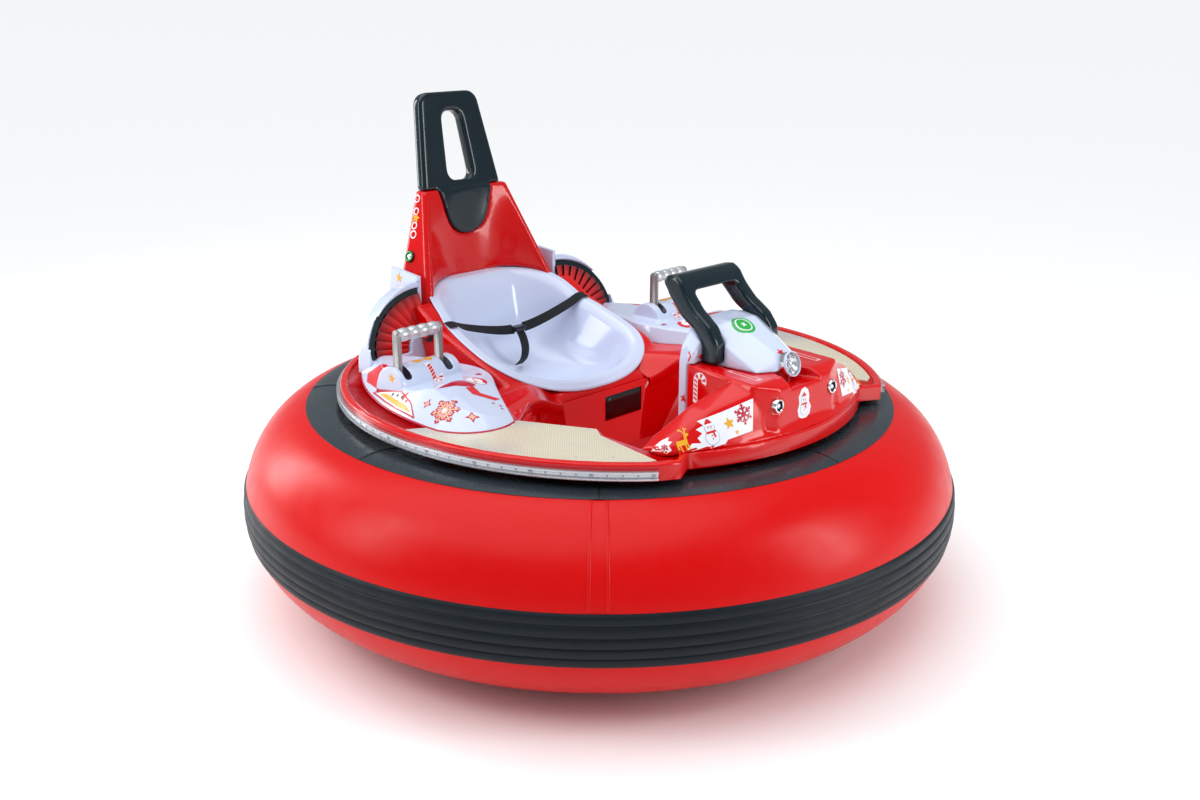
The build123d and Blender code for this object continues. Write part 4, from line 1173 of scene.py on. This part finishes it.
def snowflake(u, v, r, w):
    arms = six_arms(u, v, r, w, w * 0.9, 0.82, (0.66, 0.84, 0.17), (0.42, 0.66, 0.28))
    return arms + [round_spot(u, v, 0.26 * r, 12)]


def leaf_flake(u, v, r, fat):
    """Snowflake with wider arms; fat thickens all of them."""
    w = 0.20 * r * fat
    arms = six_arms(u, v, r, w, w, 0.86, (0.62, 0.80, 0.22 * fat), (0.34, 0.62, 0.30))
    return [round_spot(u, v, 0.30 * r, 14)] + arms


def candy_cane(sheet, u, v, tall, w, turn=0.0, mirror=1):
    """Striped stick with a hook at its top."""
    r, rim = tall * 0.2, 3.5

    def placed(*shapes):
        return [shifted([(mirror * x, y) for x, y in shape], u, v, turn) for shape in shapes]

    stick, crook = stroke(0, -1.5, 0, tall - r, w + rim), hook(-r, tall - r, r, w + rim, -4, 198)
    sheet.cut(0, "white", *placed(stick, crook))
    bars = []
    for y in (tall * (0.06 + 0.16 * k) for k in range(5)):
        bars.append([(-w / 2, y), (w / 2, y + w * 0.45), (w / 2, y + w * 0.95), (-w / 2, y + w * 0.5)])
    bars += [hook(-r, tall - r, r, w, 30 + 58 * k, 58 + 58 * k, 4) for k in range(3)]
    sheet.cut(1, "red", *placed(*bars))


def snowman(sheet, u, v, tall):
    """Two snowballs with a hat and a scarf, on levels 1 to 4."""
    r = tall * 0.26

    def sized(*points):
        return [(u + x * r, v + y * r) for x, y in points]

    def bar(x0, y0, x1, y1, w):
        return shifted(stroke(x0 * r, y0 * r, x1 * r, y1 * r, w * r), u, v)

    belly, head = (u, v + r), (u, v + 2.35 * r)
    sheet.cut(1, "ice", round_spot(*belly, 1.1 * r), round_spot(*head, 0.79 * r))
    sheet.cut(2, "white", round_spot(*belly, r), round_spot(*head, 0.68 * r))
    hat = sized((-0.62, 2.75), (0.62, 2.75), (0.42, 3.25), (0, 3.65), (-0.45, 3.2))
    sheet.cut(3, "red", hat, bar(-0.7, 1.75, 0.7, 1.75, 0.3), bar(0.3, 1.7, 0.45, 0.9, 0.28))
    sheet.cut(4, "white", bar(-0.75, 2.78, 0.75, 2.78, 0.3))
    dots = sized((-0.22, 2.45), (0.22, 2.45), (0, 1.25), (0, 0.8))
    sheet.cut(4, "dark_red", *[round_spot(x, y, 0.11 * r, 8) for x, y in dots])
    sheet.cut(4, "orange", sized((0.02, 2.3), (0.02, 2.14), (0.5, 2.12)))


def deer(sheet, u, v, tall):
    """Small standing deer in outline, looking to one side."""
    body = [(-0.34, 0.30), (-0.30, 0.56), (0.12, 0.56), (0.22, 0.86), (0.44, 0.80), (0.40, 0.70)]
    body += [(0.28, 0.66), (0.24, 0.34), (0.20, 0.30)]
    legs = ((-0.30, 0.38, -0.32, 0), (-0.18, 0.36, -0.16, 0), (0.10, 0.36, 0.10, 0), (0.20, 0.36, 0.24, 0))
    horns = [stroke(0.24, 0.84, 0.14, 1.12, 0.05), stroke(0.28, 0.84, 0.36, 1.12, 0.05)]
    horns += [stroke(0.18, 1.0, 0.06, 1.06, 0.045), stroke(0.33, 1.0, 0.46, 1.04, 0.045)]
    shapes = (body, *[stroke(*leg, 0.07) for leg in legs], *horns)
    sheet.cut(1, "gold", *[[(u + x * tall, v + y * tall) for x, y in shape] for shape in shapes])


RIGHT, FORWARD, UP = (0, 1, 0), (1, 0, 0), (0, 0, 1)  # axes of prints


def flank_print(side_name, side):
    """Large snowflake between two stars on the console's flank."""
    cuts = [(0, "dark_red", *leaf_flake(0, 0, 36, 1.05)), (1, "orange", *leaf_flake(0, 0, 31, 0.5))]
    cuts.append((2, "white", star(0, 0, 8, 6, 0.5)))
    for u, v, turn in ((-60, 2, 90), (58, 16, 45)):
        cuts.append((0, "dark_red", star(u, v, 14, 4, 0.42, turn)))
        cuts.append((1, "orange", star(u, v, 7.5, 4, 0.5, turn)))
    flank = (f"{side_name}_flank_print", f"{side_name}_console_moulding", (58, -527, 540))
    printed(*flank, FORWARD, (0, 0.77, 0.64), side, *cuts)


def console_print(side_name, side):
    """Patch with a dark edge, streaks and a snowman's head on the console's top."""
    on = f"{side_name}_console_moulding"
    plan = Print(f"{side_name}_console_print", on, (0, 0, 560), FORWARD, RIGHT, side, step=5.0)
    plan.cut(0, "red", [(-328, -442), (-288, -474), (-216, -500), (-210, -470), (-214, -440), (-285, -420)])
    patch = [(-214, -510), (-108, -511), (-52, -530), (-10, -556), (-84, -546), (-140, -533)]
    plan.cut(0, "white", patch)
    edges = [stroke(*a, *b, 3.0) for a, b in zip(patch, patch[1:] + patch[:1])]
    plan.cut(2, "dark_red", *edges, *[round_spot(*corner, 1.5, 8) for corner in patch[1:]])
    field = [(-186, -514), (-160, -515), (-112, -526), (-60, -537), (-28, -549), (-84, -542), (-138, -529)]
    plan.cut(1, "gold", field)
    plan.cut(3, "black", *[round_spot(*spot, 3.4, 8) for spot in ((-132, -517), (-112, -519), (-92, -522))])
    plan.cut(2, "red", star(-88, -520, 11, 3, 0.5, 60), round_spot(-70, -528, 4, 8))
    # streak and a scarf that point to the snowman's head on the inner lobe
    plan.cut(0, "dark_red", [(-12, -488), (-44, -404), (-8, -384), (2, -402)])
    plan.cut(1, "red", [(4, -424), (34, -430), (64, -392), (58, -372), (30, -404), (2, -398)])
    plan.cut(2, "white", round_spot(-34, -362, 24, 20))
    plan.cut(3, "red", hook(-34, -362, 20, 10, 25, 165))
    plan.cut(3, "black", round_spot(-40, -364, 2.6, 8), round_spot(-26, -372, 2.6, 8))
    plan.cut(3, "orange", [(-34, -370), (-26, -362), (-12, -384)])
    stars = [star(*spot, 5, 4, 0.45, 20) for spot in ((76, -408), (88, -398), (100, -404))]
    plan.cut(1, "dark_red", *stars, star(-76, -318, 10, 5, 0.45, 70))
    plan.done()


def hump_prints(side_name, side):
    """Cane, bow and star on the half barrel of the lever."""
    on = f"{side_name}_console_moulding"
    name, up_slope = f"{side_name}_hump_print", (-0.7, 0, 0.72)
    front = Print(name, on, (-118, -414, 570), RIGHT, up_slope, side)
    candy_cane(front, -4, 20, 46, 11, turn=180)
    front.done()
    bow = [(0, 3), (-24, 12), (-27, -2), (-20, -11), (0, -4), (18, -12), (26, -3), (22, 11)]
    knot = [round_spot(0, 0, 6, 10), stroke(-22, 5, -6, 1, 2.5), stroke(6, 1, 20, 5, 2.5)]
    top = (f"{side_name}_ribbon_print", on, (-154, -416, 585), RIGHT, (-1, 0, 0), side)
    printed(*top, (0, "gold", bow), (1, "orange", *knot))
    end = (f"{side_name}_hump_star", on, (-149, -507, 561), FORWARD, UP, side)
    printed(*end, (0, "gold", star(0, 0, 13, 5, 0.42, 80)))


def foot_line(side_name, side):
    """Dark red line round the console's outer edge."""
    outline = ((-2.0, 505.6), (1.0, 505.6), (1.3, 508.2), (0.2, 509.8), (-2.0, 510.4))
    look = {"side": side, "capped": False, "angle": 50}
    frames = framed(FLANK_EDGE, (-100, 300))
    along_line(f"{side_name}_foot_line", frames, outline, "film_dark_red", "shell_white", **look)


def nose_print(side_name, side):
    """Jagged white field with snowflake, stars and snowman on the nose's side, and a deer before it."""
    axes = ((0.28, 0.95, 0.12), (-0.4, 0.1, 0.9))
    sheet = Print(f"{side_name}_nose_print", "nose_moulding", (560, -215, 560), *axes, side)
    field = [(570, -148, 597), (582, -160, 534), (568, -222, 527), (568, -234, 514), (537, -316, 513)]
    field += [(534, -292, 528), (546, -276, 528), (540, -280, 538), (536, -266, 543), (532, -276, 553)]
    field += [(530, -258, 556), (526, -266, 567), (546, -215, 579)]
    sheet.cut(0, "white", sheet.flat(*field))
    spots = ((572, -177, 571), (561, -211, 557), (570, -197, 537), (556, -250, 521), (528, -306, 514))
    centre, gold, small, feet, hoof = sheet.flat(*spots)
    sheet.cut(1, "dark_red", *snowflake(*centre, 22, 4))
    sheet.cut(1, "gold", star(*gold, 13, 5, 0.45, 95), star(*small, 6, 5, 0.45, 80))
    snowman(sheet, *feet, 56)
    deer(sheet, *hoof, 40)
    sheet.done()


def nose_details(side_name, side):
    """White corner behind the nose's field, cane on the cowl's box and inlay in the slot."""
    on = "nose_moulding"
    axes = ((0.75, 0.6, 0.0), (-0.5, 0.5, 0.7))
    tail = Print(f"{side_name}_tail_print", on, (500, -330, 520), *axes, side)
    corner = [(472, -344, 509), (483, -326, 528), (494, -316, 537), (497, -322, 529), (505, -318, 529)]
    corner += [(503, -326, 521), (513, -328, 517), (508, -338, 511)]
    tail.cut(0, "white", tail.flat(*corner))
    tail.cut(1, "dark_red", *snowflake(*tail.flat((497, -332, 517))[0], 8, 2))
    tail.done()
    box = Print(f"{side_name}_box_print", on, (420, -143, 580), FORWARD, UP, side)
    candy_cane(box, -4, -27, 60, 9, mirror=-1)
    box.done()
    inlay = (f"{side_name}_slot_inlay", on, (514, -104, 624), FORWARD, RIGHT, side)
    cuts = (0, "pink", stroke(-40, 0, 40, 0, 17)), (1, "red", stroke(-33, 0, 33, 0, 9))
    printed(*inlay, *cuts, slot="body_red")


def cowl_print():
    """Film on the cowl and the nose's middle."""
    on = "cowl_moulding"
    rings = (1, "white", *hook_ring(0, 0, 19, 3), star(0, 0, 8, 4, 0.5, 45))
    disc = (0, "green", round_spot(0, 0, 27, 28))
    printed("green_spot", on, (440, -20, 700), RIGHT, (-0.89, 0, 0.46), -1, disc, rings)
    tip = (0, "red", star(0, 0, 13, 5, 0.4, 100))
    printed("tip_star", on, (530, -4, 656), RIGHT, (-0.77, 0, 0.64), -1, tip)
    lines = ((-6, 36, -1, 48, 4), (-1, 48, -8, 56, 3.4), (-1, 48, 5, 55, 3.4), (8, 38, 10, 50, 4))
    marks = (0, "red", *[stroke(*line) for line in lines], star(-16, -48, 11, 5, 0.42, 80))
    for side_name, side in SIDES:
        printed(f"{side_name}_skirt_print", on, (398, -141, 600), (1, 0.1, 0), UP, side, marks)
    front = Print("front_snowman", "nose_moulding", (597, -8, 532), RIGHT, (-0.1, 0, 1))
    blob = [(-20, 4), (-23, 18), (-17, 30), (-18, 46), (-8, 60), (4, 63), (15, 55), (19, 42), (17, 30)]
    front.cut(0, "white", blob + [(24, 18), (19, 3), (6, -3), (-10, -2)])
    snowman(front, 0, 4, 52)
    front.done()


def tower_print(side_name, side):
    """Film rings and star beside the tower's edge, and the star on the fin."""
    origin, v_axis = (-490, -160, 833), (0, 0.32, 0.95)
    sheet = Print(f"{side_name}_tower_print", "tower_moulding", origin, FORWARD, v_axis, side, "body_red")
    spots = ((-499, -146, 878), (-492, -155, 848), (-487, -166, 814), (-484, -173, 793), (-487, -160, 832))
    *rings, gold = sheet.flat(*spots)
    for spot, r in zip(rings, (9, 8, 8, 9)):
        sheet.cut(0, "white", *hook_ring(*spot, r, 3.2))
    sheet.cut(1, "gold", star(*gold, 14, 5, 0.45, 85))
    sheet.done()
    on, origin = f"{side_name}_fin_plate", (-468, -234, 694)
    marks = (1, "orange", stroke(-14, -22, 18, -26, 4), star(24, -12, 5, 4, 0.5, 20))
    fin = (f"{side_name}_fin_star", on, origin, FORWARD, UP, side)
    printed(*fin, (0, "gold", star(0, 0, 14, 5, 0.45, 85)), marks)


def label_plate():
    """Blank black plate on the footwell's rear wall."""
    on, origin, slot = "footwell_moulding", (21, 62, 412), "buckle_black"
    plate = Print("label_plate", on, origin, RIGHT, UP, slot=slot, step=20.0)
    plate.cut(1, "black", [(-64, -30), (64, -30), (64, 30), (-64, 30)])
    modified(plate.done(), thickened(0.6, 1.0))


def hook_ring(u, v, r, w):
    """Whole ring as two halves."""
    return hook(u, v, r, w, 0, 180), hook(u, v, r, w, 180, 360)


# ---- small fittings ----
def tower_lamp(side_name, side):
    """Small lamp in a black ring with a green edge."""
    place = looking((-477, 190 * side, 740), (0.06, 0.95 * side, 0.32))
    ring = [(9, -1), (9, 5), (11, 6), (13.5, 5.5), (15, 3.5), (15, -1)]
    lathe(f"{side_name}_tower_lamp_ring", ring, place, "film_black", "handle_black")
    edge = [(9.2, 4.6), (9.2, 6.2), (10.4, 7.0), (12.2, 6.6), (12.6, 5.2)]
    lathe(f"{side_name}_tower_lamp_edge", edge, place, "film_green", "lamp_clear")
    lens = [(0.01, 6), (5, 5.2), (9, 3), (9, -1)]
    lathe(f"{side_name}_tower_lamp", lens, place, "chrome", "lamp_chrome")


def key_switch(side_name, side):
    """Round lock on a black base beside the seat."""
    place = looking((-326, 262 * side, 584), (0, side, 0))
    base = [(21, -1), (21, 2.5), (19.5, 3.5), (12, 3.5)]
    lathe(f"{side_name}_switch_base", base, place, "film_black", "handle_black")
    barrel = [(12, 2), (12, 8), (11, 9.5), (6, 9.5), (5.5, 8.5), (0.01, 8.5)]
    lathe(f"{side_name}_switch_barrel", barrel, place, "chrome", "lamp_chrome")


RIVETS = ((156, 424), (388, 470), (75, 578), (292, 340), (440, 420), (230, 566), (360, 524))
RIVET_Z, RIVET_R, RIVET_RISE, RIVET_TURNS = 508.0, 4.0, 1.2, 14


def step_rivets(side_name, side):
    """Domed heads on the step plate, as one piece."""
    name, r, rise = f"{side_name}_step_rivets", RIVET_R, RIVET_RISE
    profile = [(r, -0.3), (r * 0.96, rise * 0.4), (r * 0.6, rise * 0.9), (0.01, rise)]
    angles = round_angles(RIVET_TURNS)
    bm = bmesh.new()
    for x, y in RIVETS:
        middle = Vector((x, y * side, RIVET_Z))
        rings = [[middle + Vector((pr * cos(a), pr * sin(a), h)) for a in angles] for pr, h in profile]
        bridge(bm, [[bm.verts.new(point * MM) for point in ring] for ring in rings], closed=True)
    piece(name, mesh_of(name, bm), "silver", "tread_aluminium", angle=60)


def rim_lines():
    """Two fine dark lines on the red rim, above the light strip."""
    frames = framed(strip_path(), (DISC_X, 0))
    for number, z in enumerate((503.4, 506.6)):
        outline = [(-0.3, z - 0.5), (0.5, z - 0.4), (0.5, z + 0.4), (-0.3, z + 0.5)]
        along_line(f"rim_line_{number + 1}", frames, outline, "film_dark_red", "body_red")


# ---- camera, light and floor ----
CAMERA_AT, CAMERA_ANGLES = (2.035, -2.113, 1.379), (43.914, 17.94, 0.32)  # turn, pitch and roll
CAMERA_LENS, CAMERA_SENSOR = 38.1, 36.0


def camera():
    """Photographer's place: ahead of the car on its right, above it."""
    turn, pitch, roll = (radians(angle) for angle in CAMERA_ANGLES)
    ahead = Vector((-sin(turn) * cos(pitch), cos(turn) * cos(pitch), -sin(pitch)))
    right = Vector((cos(turn), sin(turn), 0))
    axes = Matrix((right, right.cross(ahead), -ahead)).transposed() @ Matrix.Rotation(roll, 3, "Z")
    lens = bpy.data.cameras.new("camera")
    lens.lens, lens.sensor_width = CAMERA_LENS, CAMERA_SENSOR
    item = bpy.data.objects.new("camera", lens)
    item.matrix_world = Matrix.Translation(CAMERA_AT) @ axes.to_4x4()
    SCENE.collection.objects.link(item)
    SCENE.camera = item


def aimed(item, direction):
    """Puts a lamp into the scene, shining along a direction."""
    item.rotation_euler = Vector(direction).to_track_quat("-Z", "Y").to_euler()
    SCENE.collection.objects.link(item)


def softbox(name, at, aim, size, power):
    light = bpy.data.lights.new(name, "AREA")
    light.shape = "RECTANGLE"
    light.size, light.size_y = size
    light.energy = power
    item = bpy.data.objects.new(name, light)
    item.location = at
    aimed(item, Vector(aim) - Vector(at))


def studio():
    """Bright surroundings, light from the whole ceiling and three soft boxes."""
    world = bpy.data.worlds.new("studio")
    SCENE.world = world
    world.use_nodes = True
    backdrop = world.node_tree.nodes["Background"]
    backdrop.inputs["Color"].default_value = (0.90, 0.95, 1.0, 1)
    backdrop.inputs["Strength"].default_value = 0.36
    sky = bpy.data.lights.new("ceiling", "SUN")
    sky.energy, sky.angle = 2.1, radians(75)
    aimed(bpy.data.objects.new("ceiling", sky), (0.10, 0.16, -1))
    softbox("key", (-1.8, -3.4, 2.2), (0, 0, 0.4), (1.0, 2.4), 45)
    softbox("fill", (3.4, 1.4, 1.7), (0, 0, 0.4), (0.8, 2.4), 55)
    softbox("side", (-3.4, -1.2, 1.5), (0, 0, 0.3), (0.8, 2.0), 38)


def floor():
    """Plain pale floor, wide enough to reach the horizon."""
    bm = bmesh.new()
    bmesh.ops.create_circle(bm, cap_ends=True, segments=96, radius=900.0)
    mesh = mesh_of("floor", bm)
    look = {"spread": 0.01, "grain": 60.0, "relief": 0.02}
    mesh.materials.append(Surface("floor_pale", (0.955, 0.955, 0.955), 0.85, **look).done())
    item = bpy.data.objects.new("floor", mesh)
    SCENE.collection.objects.link(item)


SCENE.view_settings.view_transform = "Standard"
camera()
studio()
floor()
for make in (tube_ring, tube_seams, rubber_band, top_panel, seat_skin, mouldings, metalwork):
    make()
for each_side in SIDES:
    fan(*each_side)
for make in (belt, light_strip, head_light, eye_lights):
    make()
for each_side in SIDES:
    for make in (flank_print, console_print, hump_prints, foot_line, nose_print, nose_details, tower_print):
        make(*each_side)
cowl_print()
label_plate()
for each_side in SIDES:
    for make in (tower_lamp, key_switch, step_rivets):
        make(*each_side)
rim_lines()
panel_seams()
